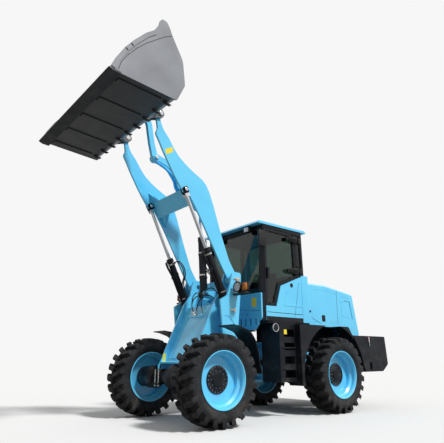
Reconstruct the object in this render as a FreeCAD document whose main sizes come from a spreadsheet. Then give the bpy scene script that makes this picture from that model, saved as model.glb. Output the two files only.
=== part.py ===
import FreeCAD, Part
import math
import os
import re
from types import SimpleNamespace

Vector = FreeCAD.Vector

# Articulated wheel loader with its lift arms raised and the bucket level.
# Millimetres, X forward, Y to the machine's left, Z up, ground at Z = 0.
# The origin lies under the middle of the machine, from counterweight to cutting edge.

SIZES = {
    # running gear
    "tyreRadius": 585, "tyreWidth": 410, "beadRadius": 350, "trackHalf": 890, "tyreWall": 28,
    "lugCount": 22, "lugTall": 60, "lugLead": 9.7, "lugMiddle": 52, "lugShoulder": 72, "lugDraft": 12,
    "lugFade": 55, "shoulderDepth": 15, "crownDrop": 12, "treadThick": 30, "flangeRise": 18,
    "frontAxleX": 1050, "rearAxleX": -1440, "rimWidth": 366, "rimWall": 14, "rimWell": 300,
    "flangeThick": 30, "discOffset": 12, "discThick": 18, "hubRadius": 150, "hubCapRadius": 177,
    "hubBore": 60, "axleTube": 92, "brakeRadius": 165, "brakeWidth": 130, "bulbRadius": 190, "hubGap": 5,
    "runGap": 0.05, "flushGap": 0.3, "pinionLength": 330,
    # articulation
    "pivotX": -195, "pivotPin": 45, "hingeLow": 545, "hingeHigh": 1030, "lugThick": 46, "lugRadius": 105,
    "forkGap": 6, "forkThick": 34,
    # front frame
    "channelHalf": 82, "plateThick": 30, "armY": 500, "frameBottom": 640, "towerTop": 2107,
    "bulkheadX": 60, "shieldSink": 90, "shieldThick": 20, "tieRadius": 24,
    # lift arms
    "armFootX": 390, "armFootZ": 2000, "armTipX": 1823, "armTipZ": 4363, "armThick": 36,
    "armFootBoss": 100, "armTipBoss": 66, "armPin": 38, "bossWidth": 120, "crossWidth": 240,
    "crossHeight": 276, "crossWall": 20, "crossShare": 0.531, "crossOffset": 30, "gussetTall": 190,
    "gussetWide": 170, "liftEyeX": 1327, "liftEyeZ": 3270, "liftBaseX": 465, "liftBaseZ": 1535,
    "liftEyeRadius": 46, "forkCheek": 22, "forkReach": 112, "liftBaseEye": 58, "liftBaseWidth": 130,
    "liftInside": 130, "tiltInside": 300, "hoseRadius": 10, "hoseSpread": 28, "hoseGap": 5, "hosePortLow": 95,
    "hosePortHigh": 40, "clampWide": 34, "clampThick": 5, "liftBarrel": 52, "liftRod": 27,
    "liftBarrelLength": 1010, "liftPin": 28,
    # bucket linkage
    "crankX": 1050, "crankZ": 3560, "linkLowX": 1570, "linkLowZ": 3895, "linkHighX": 1795,
    "linkHighZ": 4643, "tiltEyeX": 670, "tiltEyeZ": 3380, "tiltBaseX": 583, "tiltBaseZ": 1820,
    "crankGap": 60.6, "crankPlate": 28, "crankEar": 30, "linkThick": 60, "linkPin": 32, "linkBoss": 66,
    "tiltBarrel": 50, "tiltRod": 25, "tiltBarrelLength": 930, "tiltEyeRadius": 55, "tiltEarGap": 112,
    "tiltEarThick": 26, "linkHalf": 44, "crankPin": 40, "crankBoss": 78, "tiltPin": 32,
    # bucket
    "bucketHalf": 1240, "bucketWall": 14, "sideWall": 16, "edgeOver": 25, "edgeDepth": 170,
    "edgeThick": 25, "heelRadius": 165, "bracketThick": 26, "bracketGap": 12, "linkEarGap": 8,
    "linkEarThick": 26, "cutterBand": 62, "cutterThick": 12,
    # rear frame and bodywork
    "railY": 360, "railWidth": 90, "railTop": 940, "railBottom": 690, "bodyHalf": 700, "cabFront": -40,
    "cabRear": -1050, "cabFloor": 1400, "cabWall": 50, "roofBottom": 2962, "roofTop": 3002,
    "deckTop": 1400, "deckThick": 45, "doorGap": 8, "hingePinX": -905, "hingeOut": 14,
    "hoodFront": -1136, "hoodRear": -2530, "hoodWall": 25, "hoodHingeX": -2478, "hoodHingeZ": 1268,
    "hoodPin": 12, "hoodHingeY": 450, "boxOuter": 850, "fenderOuter": 950, "skirtThick": 20,
    "skirtFront": -594, "archRadius": 790, "counterFront": -1985, "counterRear": -3000,
    "counterTop": 1215, "counterBottom": 605, "glassThick": 6, "doorPin": 7, "frontPanel": 26,
    "sidePanel": 16, "hoodChamfer": 36, "fieldDepth": 7, "grilleBars": 8, "grilleBottom": 1430,
    "grillePitch": 56,
    # steering cylinders
    "steerFrontX": -25, "steerFrontY": 215, "steerRearX": -640, "steerRearY": 225, "steerZ": 780,
    "steerBarrel": 36, "steerRod": 18, "steerPin": 20, "steerBaseGap": 84, "steerEyeGap": 60,
    "steerEar": 20, "steerClosed": 380,
}

doc = FreeCAD.newDocument("wheel_loader")
sheet = doc.addObject("Spreadsheet::Sheet", "Sizes")
for row, (word, value) in enumerate(SIZES.items(), start=1):
    sheet.set(f"A{row}", word)
    sheet.set(f"B{row}", str(value))
    sheet.setAlias(f"B{row}", word)
doc.recompute()
size = SimpleNamespace(**SIZES)
nodes = []


def bind(piece, prop, formula):
    """Ties a property to a formula of words in the sheet."""
    text = re.sub(r"[A-Za-z]\w*", lambda word: "Sizes." + word.group() if word.group() in SIZES else word.group(),
                  str(formula))
    piece.setExpression(prop, text)


def node(piece, label):
    piece.Label = label
    nodes.append(piece)
    return piece


def roundedEdges(points):
    """Closed outline of (u, v) or (u, v, corner radius) points as lines and tangent arcs."""
    corners = []
    count = len(points)
    for index, point in enumerate(points):
        here = Vector(point[0], point[1], 0)
        before = Vector(*points[index - 1][:2], 0) - here
        after = Vector(*points[(index + 1) % count][:2], 0) - here
        radius = point[2] if len(point) > 2 else 0
        half = before.getAngle(after) / 2
        if not radius or math.degrees(half) > 87.5:
            corners.append((here, None, here))
            continue
        reach = min(radius / math.tan(half), 0.49 * before.Length, 0.49 * after.Length)
        radius = reach * math.tan(half)
        middle = (before.normalize() + after.normalize()).normalize()
        centre = here + middle * (radius / math.sin(half))
        corners.append((here + before * reach, centre - middle * radius, here + after * reach))
    edges = []
    for index, (start, bend, end) in enumerate(corners):
        if bend:
            edges.append(Part.Arc(start, bend, end))
        following = corners[(index + 1) % count][0]
        if end.distanceToPoint(following) > 1e-4:
            edges.append(Part.LineSegment(end, following))
    return edges


PLANES = {  # name: (turn of the sketch, direction of the prism, property of its start)
    "XZ": (FreeCAD.Rotation(Vector(1, 0, 0), 90), Vector(0, 1, 0), "Placement.Base.y"),
    "XY": (FreeCAD.Rotation(), Vector(0, 0, 1), "Placement.Base.z"),
    "YZ": (FreeCAD.Rotation(Vector(1, 1, 1), 120), Vector(1, 0, 0), "Placement.Base.x"),
}


def prism(name, points, start, depth, plane="XZ", holes=()):
    """A sketched outline, with round holes (u, v, radius), pulled from start by depth."""
    turn, direction, place = PLANES[plane]
    profile = doc.addObject("Sketcher::SketchObject", name + "_sketch")
    profile.Placement.Rotation = turn
    profile.addGeometry(roundedEdges(points), False)
    for u, v, radius in holes:
        profile.addGeometry(Part.Circle(Vector(u, v, 0), Vector(0, 0, 1), radius), False)
    bind(profile, place, start)
    solid = doc.addObject("Part::Extrusion", name)
    solid.Base = profile
    solid.DirMode = "Custom"
    solid.Dir = direction
    solid.Solid = True
    bind(solid, "LengthFwd", depth)
    return solid


def bar(name, start, end, radius):
    """A round bar from one point to another."""
    piece = doc.addObject("Part::Cylinder", name)
    along = Vector(*end) - Vector(*start)
    piece.Height = along.Length
    piece.Placement = FreeCAD.Placement(Vector(*start), FreeCAD.Rotation(Vector(0, 0, 1), along))
    bind(piece, "Radius", radius)
    return piece


def crossBar(name, x, z, low, high, radius):
    """A round bar along Y from low to high."""
    return bar(name, (x, low, z), (x, high, z), radius)


def plateOn(name, origin, across, upward, points, thick):
    """A plate whose outline lies in the plane of two directions, thickened along their cross product."""
    normal = across.cross(upward)
    profile = doc.addObject("Sketcher::SketchObject", name + "_sketch")
    profile.Placement = FreeCAD.Placement(origin, FreeCAD.Rotation(across, upward, normal, "XYZ"))
    profile.addGeometry(roundedEdges(points), False)
    solid = doc.addObject("Part::Extrusion", name)
    solid.Base = profile
    solid.DirMode = "Custom"
    solid.Dir = normal
    solid.Solid = True
    solid.LengthFwd = thick
    return solid


def block(name, low, high):
    """A box between two corners."""
    piece = doc.addObject("Part::Box", name)
    piece.Length = high[0] - low[0]
    piece.Width = high[1] - low[1]
    piece.Height = high[2] - low[2]
    piece.Placement.Base = Vector(*low)
    return piece


def fuse(name, pieces):
    if len(pieces) == 1:
        return pieces[0]
    piece = doc.addObject("Part::MultiFuse", name)
    piece.Shapes = pieces
    return piece


def cut(name, base, tools):
    piece = doc.addObject("Part::Cut", name)
    piece.Base = base
    piece.Tool = fuse(name + "_tools", tools)
    return piece


def common(name, first, second):
    piece = doc.addObject("Part::MultiCommon", name)
    piece.Shapes = [first, second]
    return piece


def mirrored(name, piece):
    """The same piece on the machine's other side."""
    twin = doc.addObject("Part::Mirroring", name)
    twin.Source = piece
    twin.Normal = Vector(0, 1, 0)
    return twin


def group(name, pieces):
    """Separate solids that share a node."""
    held = doc.addObject("Part::Compound", name)
    held.Links = pieces
    return held


def both(name, piece):
    """A piece and its twin on the other side, as two solids."""
    return group(name, [piece, mirrored(name + "_twin", piece)])


def revolved(name, points, axleX, side):
    """A body turned about a wheel's axle from (radius, outward) points."""
    body = doc.addObject("PartDesign::Body", name)
    plane = [item for item in body.Origin.OriginFeatures if item.Role == "XY_Plane"][0]
    profile = body.newObject("Sketcher::SketchObject", name + "_profile")
    profile.AttachmentSupport = (plane, "")
    profile.MapMode = "FlatFace"
    profile.addGeometry(roundedEdges(points), False)
    turn = body.newObject("PartDesign::Revolution", name + "_turned")
    turn.Profile = profile
    turn.ReferenceAxis = (profile, ["V_Axis"])
    turn.Angle = 360
    body.Tip = turn
    body.Placement.Rotation = FreeCAD.Rotation(Vector(0, 0, 1), 0 if side > 0 else 180)
    bind(body, "Placement.Base.x", axleX)
    bind(body, "Placement.Base.y", f"{side} * trackHalf")
    bind(body, "Placement.Base.z", "tyreRadius")
    return body


def stepAlong(start, end):
    """Unit vectors along and square to a line in the XZ plane."""
    along = Vector(end[0] - start[0], 0, end[1] - start[1]).normalize()
    return along, Vector(-along.z, 0, along.x)


def channelInner():
    return size.armY - size.channelHalf


def channelOuter():
    return size.armY + size.channelHalf


# wheels

def treadStations():
    """From the middle out: (y, crown and floor radius, turn of a lug's middle, half angles of its foot and crown)."""
    half, crown, floor = size.tyreWidth / 2, size.tyreRadius, size.tyreRadius - size.lugTall
    slim, broad = size.lugMiddle, size.lugShoulder
    angle = [math.degrees(width / 2 / crown) for width in (slim + size.lugDraft, slim, broad + size.lugDraft, broad)]
    fade = floor - size.lugFade
    return [(0, crown, floor, 0, *angle[:2]),
            (half - size.shoulderDepth, crown - size.crownDrop, floor - size.crownDrop, size.lugLead, *angle[2:]),
            (half, fade, fade, size.lugLead, *angle[2:])]


def strip(near, far):
    """Triangles between two closed rings of (angle, point), both in rising angles."""
    faces, i, j = [], 0, 0
    while i < len(near) or j < len(far):
        ahead = near[(i + 1) % len(near)][0] + (360 if i + 1 >= len(near) else 0)
        beyond = far[(j + 1) % len(far)][0] + (360 if j + 1 >= len(far) else 0)
        here, there = near[i % len(near)][1], far[j % len(far)][1]
        if j >= len(far) or (i < len(near) and ahead <= beyond):
            i += 1
            faces.append((here, there, near[i % len(near)][1]))
        else:
            j += 1
            faces.append((here, there, far[j % len(far)][1]))
    return faces


def tyreFaces():
    """Triangles of a tyre about the Y axis: two rows of slanted lugs, half a pitch apart, on a hollow carcass."""
    pitch = 360 / size.lugCount
    stations = treadStations()

    def at(radius, y, angle):
        turn = math.radians(angle)
        return (radius * math.cos(turn), y, radius * math.sin(turn))

    def lugPoints(station, angle, side):
        y, crown, floor, lead, foot, top = station
        middle = angle + lead
        return [at(floor, side * y, middle - foot), at(crown, side * y, middle - top),
                at(crown, side * y, middle + top), at(floor, side * y, middle + foot)]

    def ring(radius, y, count, start):
        reach = radius / math.cos(math.pi / count)
        return [(start + 360 * index / count, at(reach, y, start + 360 * index / count)) for index in range(count)]

    seat, wall = size.rimWidth / 2 - size.flangeThick - size.flushGap, size.tyreWall
    liner = size.tyreRadius - size.lugTall - size.treadThick
    faces, liners = [], []
    for side, start in ((1, 0), (-1, pitch / 2)):
        half = []
        for index in range(size.lugCount):
            angle = start + index * pitch
            rows = [lugPoints(station, angle, side) for station in stations]
            following = [lugPoints(station, angle + pitch, side)[0] for station in stations]
            other = lugPoints(stations[0], angle + pitch / 2, -side)
            half += [(rows[0][0], rows[0][2], rows[0][1]), (rows[0][0], rows[0][3], rows[0][2])]
            near, far = rows[0], rows[1]
            half += [(far[3], near[3], other[0]), (far[3], other[0], other[3]), (far[3], other[3], following[1]),
                     (following[1], other[3], following[0])]
            for row, (near, far) in enumerate(zip(rows, rows[1:])):
                for first, second in ((0, 1), (1, 2), (2, 3)):
                    half += [(near[first], near[second], far[second]), (near[first], far[second], far[first])]
                if row:
                    half += [(near[3], following[row], following[row + 1]), (near[3], following[row + 1], far[3])]
        outer = []
        y, radius, _, lead, foot, top = stations[-1]
        for index in range(size.lugCount):
            middle = start + index * pitch + lead
            outer += [(middle + step, at(radius, side * y, middle + step)) for step in (-foot, -top, top, foot)]
        begin = outer[0][0]
        rings = [outer, ring(size.beadRadius + size.flangeRise, side * seat, 2 * size.lugCount, begin),
                 ring(size.beadRadius, side * seat, size.lugCount, begin),
                 ring(size.beadRadius, side * (seat - wall), size.lugCount, begin),
                 ring(liner, side * (size.tyreWidth / 2 - 2 * wall), size.lugCount, begin)]
        for near, far in zip(rings, rings[1:]):
            half += [(a, c, b) for a, b, c in strip(near, far)]
        liners.append([(angle % 360, point) for angle, point in rings[-1]])
        faces += half if side > 0 else [(a, c, b) for a, b, c in half]
    left, right = [sorted(held) for held in liners]
    faces += strip(left, right)
    return faces


def makeTyre(name, faces, axleX, side):
    points, places = [], {}
    for face in faces:
        for point in face:
            key = tuple(round(value, 4) for value in point)
            if key not in places:
                places[key] = len(points)
                points.append(Vector(*point))
    facets = [tuple(places[tuple(round(value, 4) for value in point)] for point in face) for face in faces]
    shell = Part.Shape()
    shell.makeShapeFromMesh((points, facets), 0.01)
    solid = Part.makeSolid(shell)
    if solid.Volume < 0:
        solid.reverse()
    tyre = doc.addObject("Part::Feature", name)
    tyre.Shape = solid
    bind(tyre, "Placement.Base.x", axleX)
    bind(tyre, "Placement.Base.y", f"{side} * trackHalf")
    bind(tyre, "Placement.Base.z", "tyreRadius")
    return tyre


def rimProfile():
    half, wall, well = size.rimWidth / 2, size.rimWall, size.rimWell
    bead = size.beadRadius - size.flushGap
    disc, thick = size.discOffset, size.discThick
    return [(bead, -half + 30), (bead, -half + 46 + 40), (well + wall, -half + 110, 12), (well + wall, half - 110, 12),
            (bead, half - 86), (bead, half - 30), (bead + 16, half - 20, 6), (bead + 16, half), (bead + 4, half, 4),
            (bead - wall, half - 26, 10), (bead - wall, half - 70, 10), (well, half - 100, 10),
            (well, disc + thick), (size.hubRadius - 10, disc + thick), (size.hubRadius - 10, disc), (well, disc),
            (well, -half + 100, 10), (bead - wall, -half + 70, 10), (bead - wall, -half + 26, 10),
            (bead + 4, -half, 4), (bead + 16, -half), (bead + 16, -half + 20, 6)]


def hubProfile():
    inner = size.hubGap + size.flushGap - (size.trackHalf - brakeOuter())
    bore = size.hubBore + size.runGap
    neck, disc, thick = size.hubRadius - 10 - size.flushGap, size.discOffset, size.discThick
    cap = disc + thick
    return [(bore, inner), (size.hubRadius, inner), (size.hubRadius, disc), (neck, disc), (neck, cap),
            (size.hubCapRadius, cap), (size.hubCapRadius, cap + 14, 6), (96, cap + 20), (88, cap + 34, 6), (0, cap + 34),
            (0, inner + 70), (bore, inner + 70)]


def brakeOuter():
    return size.trackHalf - size.rimWidth / 2 - 7


def makeWheels():
    places = [("front_left", "frontAxleX", 1), ("front_right", "frontAxleX", -1),
              ("rear_left", "rearAxleX", 1), ("rear_right", "rearAxleX", -1)]
    faces = tyreFaces()
    for place, axleX, side in places:
        node(makeTyre("tyre_" + place, faces, axleX, side), "tyre_" + place)
        node(revolved("rim_" + place, rimProfile(), axleX, side), "rim_" + place)
        node(revolved("hub_" + place, hubProfile(), axleX, side), "hub_" + place)


def makeAxle(name, x, towards, saddleTop):
    """A drive axle: tube, centre bulb, brakes, stub ends and two saddles under the frame."""
    z = size.tyreRadius
    outer = brakeOuter()
    tube = crossBar(name + "_tube", x, z, -outer, outer, "axleTube")
    bulb = doc.addObject("Part::Sphere", name + "_bulb")
    bind(bulb, "Radius", "bulbRadius")
    bulb.Placement.Base = Vector(x, 0, z)
    pinion = bar(name + "_pinion", (x, 0, z), (x + towards * size.pinionLength, 0, z), 70)
    pieces = [tube, bulb, pinion]
    for side in (-1, 1):
        word = f"{name}_{'left' if side > 0 else 'right'}"
        pieces.append(crossBar(word + "_brake", x, z, side * (outer - size.brakeWidth), side * outer, "brakeRadius"))
        cone = doc.addObject("Part::Cone", word + "_cone")
        cone.Radius1, cone.Radius2, cone.Height = 150, size.axleTube, 180
        cone.Placement = FreeCAD.Placement(Vector(x, side * 120, z), FreeCAD.Rotation(Vector(0, 0, 1), Vector(0, side, 0)))
        pieces.append(cone)
        pieces.append(crossBar(word + "_stub", x, z, side * outer, side * (outer + 60), "hubBore"))
        low, high = sorted((side * (size.railY - 60), side * (size.railY + 60)))
        pieces.append(block(word + "_saddle", (x - 90, low, z), (x + 90, high, saddleTop)))
    return node(fuse(name, pieces), name)


# front frame

def slopeAt(z):
    """X of the front frame's sloping front edge at height z."""
    top, bottom = (640, 1760), (1118, 745)
    return bottom[0] + (top[0] - bottom[0]) * (z - bottom[1]) / (top[1] - bottom[1])


def makeFrontFrame():
    inner, outer = channelInner(), channelOuter()
    thick, bottom = size.plateThick, size.frameBottom
    bulkhead, top = size.bulkheadX, size.towerTop
    under = size.tyreRadius + size.axleTube + 25
    innerOutline = [(bulkhead, 520), (700, 520), (820, under), (1125, under), (1130, 735, 30), (slopeAt(800), 800),
                    (slopeAt(1690), 1690, 40), (560, 1830, 60), (498, top - 20, 40), (470, top, 40),
                    (340, top, 40), (330, 1900), (345, 1330, 60), (bulkhead, 1150)]
    tieHole = (1085, 735, size.tieRadius)
    pinHoles = [(size.armFootX, size.armFootZ, size.armPin), (size.liftBaseX, size.liftBaseZ, size.liftPin)]
    innerPlate = prism("inner_plate", innerOutline, "armY - channelHalf - plateThick", "plateThick",
                       holes=[tieHole] + pinHoles)
    towerOutline = [(320, top, 40), (495, top, 45), (545, 1900, 60), (600, 1745, 30), (735, 1672, 30), (690, 1240, 40),
                    (650, 1000), (400, 1000), (395, 1270), (330, 1846, 60)]
    tower = prism("tower_solid", towerOutline, "armY + channelHalf", "plateThick", holes=pinHoles)
    field = [(440, 1060, 20), (600, 1060, 20), (640, 1260, 40), (665, 1450, 20), (560, 1440, 20), (440, 1300, 40)]
    tower = cut("tower_plate", tower, [prism("tower_field", field, "armY + channelHalf + plateThick - fieldDepth", 40)])
    shelf = block("tower_shelf", (400, inner - thick, 1000), (650, outer + thick, 1030))
    rearWeb = prism("tower_web", [(395, 1030), (425, 1030), (425, 1330), (395, 1330)], "armY - channelHalf", "2 * channelHalf")
    sidePieces = [innerPlate, tower, shelf, rearWeb]
    pieces = []
    for piece in sidePieces:
        pieces += [piece, mirrored(piece.Name + "_right", piece)]
    sink, skin = size.shieldSink, size.shieldThick
    shield = [(slopeAt(800) - sink, 800), (slopeAt(1640) - sink, 1640), (slopeAt(1640) - sink - skin, 1640),
              (slopeAt(800) - sink - skin, 800)]
    across = "2 * (armY - channelHalf - plateThick)"
    start = "0 - (armY - channelHalf - plateThick)"
    pieces.append(prism("shield", shield, start, across))
    pieces.append(prism("nose_plate", [(slopeAt(800) - sink - skin, 780), (1100, 780), (1100, 800), (slopeAt(800) - sink, 810)],
                        start, across))
    pieces.append(prism("bulkhead", [(bulkhead, 520), (bulkhead + thick, 520), (bulkhead + thick, 1150), (bulkhead, 1150)],
                        start, across))
    pieces.append(prism("tower_top", [(345, 1560), (365, 1560), (365, 2040), (345, 2040)], start, across))
    lugRoot = bulkhead + 10
    for word in ("low", "high"):
        lug = [(lugRoot, -250), (lugRoot, 250), (size.pivotX + 20, size.lugRadius), (size.pivotX - size.lugRadius, size.lugRadius, 100),
               (size.pivotX - size.lugRadius, -size.lugRadius, 100), (size.pivotX + 20, -size.lugRadius)]
        pieces.append(prism("lug_" + word, lug, f"hinge{word.capitalize()} - lugThick / 2", "lugThick", "XY",
                            holes=[(size.pivotX, 0, size.pivotPin + size.runGap)]))
    pieces += tiltEars("tilt_base", size.tiltBaseX, size.tiltBaseZ)
    for side in (-1, 1):
        y = side * size.steerFrontY
        ear = [(bulkhead + 5, y - 60), (bulkhead + 5, y + 60), (size.steerFrontX - 34, y + 36, 30),
               (size.steerFrontX - 34, y - 36, 30)]
        for word, level in (("under", "steerZ - steerEyeGap / 2 - steerEar"), ("over", "steerZ + steerEyeGap / 2")):
            pieces.append(prism(f"steer_ear_{word}_{'left' if side > 0 else 'right'}", ear, level, "steerEar", "XY"))
    node(fuse("front_frame", pieces), "front_frame")


def tiltEars(name, x, z):
    """Two ears on a cross plate that hold the tilt cylinder's base."""
    back = 362
    outline = [(back, z - 90), (x - 40, z - 70), (x + 55, z - 55, 50), (x + 55, z + 55, 50), (x - 40, z + 50), (back, z + 60)]
    pieces = []
    for side, start in (("left", "tiltEarGap / 2"), ("right", "0 - tiltEarGap / 2 - tiltEarThick")):
        pieces.append(prism(f"{name}_ear_{side}", outline, start, "tiltEarThick", holes=[(x, z, size.tiltPin)]))
    return pieces


def makeFrontPins():
    inner, outer, thick = channelInner(), channelOuter(), size.plateThick
    foot = crossBar("arm_foot_pin", size.armFootX, size.armFootZ, inner, outer + thick + 12, "armPin")
    base = crossBar("lift_base_pin", size.liftBaseX, size.liftBaseZ, inner, outer + thick + 12, "liftPin")
    reach = size.tiltEarGap / 2 + size.tiltEarThick + 10
    tilt = crossBar("tilt_base_pin", size.tiltBaseX, size.tiltBaseZ, -reach, reach, "tiltPin")
    node(group("front_pins", [foot, mirrored("arm_foot_pin_right", foot), base, mirrored("lift_base_pin_right", base),
                              tilt]), "front_pins")


def makeFrontFenders():
    tower = channelOuter() + size.plateThick
    inner, outer = tower + 78, size.trackHalf + 140
    shell = [(850, 1277), (730, 1262, 200), (545, 1205, 160), (452, 1085, 160), (400, 925, 200), (345, 640),
             (333, 640), (388, 928, 200), (440, 1092, 170), (538, 1217, 170), (728, 1275, 200), (850, 1290)]
    fender = prism("front_fender", shell, inner, outer - inner)
    stay = block("front_fender_stay", (430, tower + size.flushGap, 1040), (500, inner + 40, 1060))
    node(both("front_fenders", fuse("front_fender_left", [fender, stay])), "front_fenders")


def makeHeadlamps():
    outer = channelOuter() + size.plateThick
    x, z = 415, 1862
    y = outer + 115
    housing = bar("lamp_housing", (x, y, z), (x + 90, y, z), 84)
    turn = block("turn_housing", (x - 10, y + 40, z - 62), (x + 62, y + 168, z + 62))
    tray = block("lamp_bracket", (x - 20, outer + size.flushGap, z - 110), (x + 80, y + 90, z - 82))
    stem = block("lamp_stem", (x, y - 30, z - 100), (x + 60, y + 30, z - 60))
    node(both("headlamp_housings", fuse("headlamp_housing", [housing, turn, tray, stem])), "headlamp_housings")
    lens = bar("headlamp_lens", (x + 90, y, z), (x + 102, y, z), 72)
    turnLens = block("turn_lamp", (x + 62, y + 88, z - 48), (x + 76, y + 160, z + 48))
    node(group("front_lenses", [lens, mirrored("headlamp_lens_right", lens), turnLens,
                                mirrored("turn_lamp_right", turnLens)]), "front_lenses")


# lift arms

def armPoint(share, offset):
    """(x, z) of a point at a share of the arm's length, offset to its upper side."""
    foot, tip = (size.armFootX, size.armFootZ), (size.armTipX, size.armTipZ)
    along, up = stepAlong(foot, tip)
    length = math.dist(foot, tip)
    point = Vector(foot[0], 0, foot[1]) + along * (share * length) + up * offset
    return point.x, point.z


def makeArms():
    # share of the length, offset of the upper edge, offset of the lower edge, corner radius
    stations = [(0.0, 92, -92, 60), (0.06, 84, -98, 100), (0.114, 82, -101, 300), (0.25, 145, -94, 600),
                (0.313, 181, -90, 600), (0.422, 247, -88, 600), (0.498, 282, -98, 160), (0.546, 284, -106, 50)]
    tip = [(0.583, 254, -196, 60), (0.64, 154, -210, 400), (0.69, 78, -216, 400), (0.75, 12, -217, 400),
           (0.80, -10, -217, 300), (0.86, -20, -209, 300), (0.908, -45, -208, 60), (0.93, -44, -136, 60),
           (0.955, -34, -108, 60), (0.98, -20, -82, 60), (1.0, 10, -60, 30)]
    upper = [(*armPoint(share, high), radius) for share, high, low, radius in stations + tip]
    lower = [(*armPoint(share, low), radius) for share, high, low, radius in reversed(tip)]
    lower += [(*armPoint(share, low), radius) for share, high, low, radius in reversed(stations)]
    plate = prism("arm_plate", upper + lower, "armY - armThick / 2", "armThick")
    half, reach = size.armThick / 2, size.bossWidth / 2
    eye = crossBar("lift_eye_lobe", size.liftEyeX, size.liftEyeZ, size.armY - half, size.armY + half, "liftEyeRadius - 4")
    tipBoss = crossBar("arm_tip_boss", size.armTipX, size.armTipZ, size.armY - half, size.armY + half, "armTipBoss")
    foot = crossBar("arm_foot_boss", size.armFootX, size.armFootZ, size.armY - reach, size.armY + reach, "armFootBoss")
    bores = []
    for name, x, z, radius in (("arm_foot_bore", size.armFootX, size.armFootZ, "armPin + runGap"),
                               ("arm_tip_bore", size.armTipX, size.armTipZ, "armPin + runGap"),
                               ("lift_eye_bore", size.liftEyeX, size.liftEyeZ, "liftPin + runGap")):
        bores.append(crossBar(name, x, z, size.armY - size.bossWidth, size.armY + size.bossWidth, radius))
    arm = cut("arm_plate_bored", fuse("arm_solid", [plate, tipBoss, foot, eye]), bores)
    node(arm, "arm_left")
    node(mirrored("arm_right", arm), "arm_right")


def makeCrossMember():
    """The box between the arms, with its gussets and the bellcrank's ears."""
    along, up = stepAlong((size.armFootX, size.armFootZ), (size.armTipX, size.armTipZ))
    x, z = armPoint(size.crossShare, size.crossOffset)
    centre = Vector(x, 0, z)
    high, deep, wall = size.crossHeight / 2, size.crossWidth / 2, size.crossWall

    def corners(tall, wide):
        points = [centre + along * tall - up * wide, centre + along * tall + up * wide,
                  centre - along * tall + up * wide, centre - along * tall - up * wide]
        return [(point.x, point.z) for point in points]

    inner = size.armY - size.armThick / 2 - size.flushGap
    outside = prism("cross_box", corners(high, deep), -inner, 2 * inner)
    inside = prism("cross_hollow", corners(high - wall, deep - wall), -inner, 2 * inner)
    pieces = [cut("cross_tube", outside, [inside])]
    crank = Vector(size.crankX, 0, size.crankZ)
    ear = [centre + up * (deep - 4) + along * 130, crank + along * 88, crank + along * 60 + up * 78,
           crank - along * 60 + up * 78, crank - along * 88, centre + up * (deep - 4) - along * 130]
    ear = [(point.x, point.z, 50 if 0 < index < 5 else 0) for index, point in enumerate(ear)]
    begin = "crankGap / 2 + crankPlate + linkEarGap"
    for word, start in (("left", begin), ("right", f"0 - ({begin}) - crankEar")):
        pieces.append(prism(f"crank_ear_{word}", ear, start, "crankEar", holes=[(size.crankX, size.crankZ, size.crankPin)]))
    for turn, tag in ((1, "upper"), (-1, "lower")):
        base = centre + along * turn * (high - 1)
        for side, word in ((1, "left"), (-1, "right")):
            rim = [(side * inner, 0), (side * (inner - size.gussetWide), 0), (side * inner, size.gussetTall)]
            pieces.append(plateOn(f"gusset_{tag}_{word}", base - up * (deep - 2 * wall), Vector(0, 1, 0), along * turn, rim, wall))
    node(fuse("cross_member", pieces), "cross_member")


# bucket and its linkage

def makeBellcrank():
    """Two bent plates joined by a hub, with the tilt rod's eye at one end and the link at the other."""
    crank = (size.crankX, size.crankZ)
    link = (size.linkLowX, size.linkLowZ)
    eye = (size.tiltEyeX, size.tiltEyeZ)
    boss = size.linkBoss
    outline = [(link[0] + boss, link[1] + 10, 55), (link[0] + 20, link[1] + boss + 4, 60), (link[0] - 200, link[1] + 10, 200),
               (crank[0] + 60, crank[1] + 190, 120), (crank[0] - 120, crank[1] + 90, 120), (eye[0] - 20, eye[1] + boss, 50),
               (eye[0] - boss, eye[1] - 20, 50), (eye[0] + 10, eye[1] - boss, 50), (crank[0] - 60, crank[1] - 110, 120),
               (crank[0] + 90, crank[1] - 90, 80), (crank[0] + 130, crank[1] + 60, 160),
               (crank[0] + 260, crank[1] + 220, 220), (link[0] - 60, link[1] - boss + 20, 160), (link[0] + 30, link[1] - boss, 50)]
    plates = []
    for side in (-1, 1):
        start = "crankGap / 2" if side > 0 else "0 - crankGap / 2 - crankPlate"
        plates.append(prism(f"crank_plate_{'left' if side > 0 else 'right'}", outline, start, "crankPlate"))
    half = size.crankGap / 2 + size.crankPlate
    hub = crossBar("crank_hub", *crank, -half, half, "crankBoss")
    bore = crossBar("crank_bore", *crank, -half - 10, half + 10, "crankPin + runGap")
    heads = []
    for side in (-1, 1):
        word = "left" if side > 0 else "right"
        heads.append(crossBar("link_head_" + word, *link, side * half, side * (half + 16), "linkPin + 8"))
        heads.append(crossBar("eye_head_" + word, *eye, side * half, side * (half + 14), "tiltPin + 6"))
    body = fuse("bellcrank_solid", plates + [hub] + heads)
    node(cut("bellcrank", body, [bore]), "bellcrank")
    x, z = crank
    reach = half + size.linkEarGap + size.crankEar + 12
    node(crossBar("bellcrank_pin", x, z, -reach, reach, "crankPin"), "bellcrank_pin")


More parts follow.
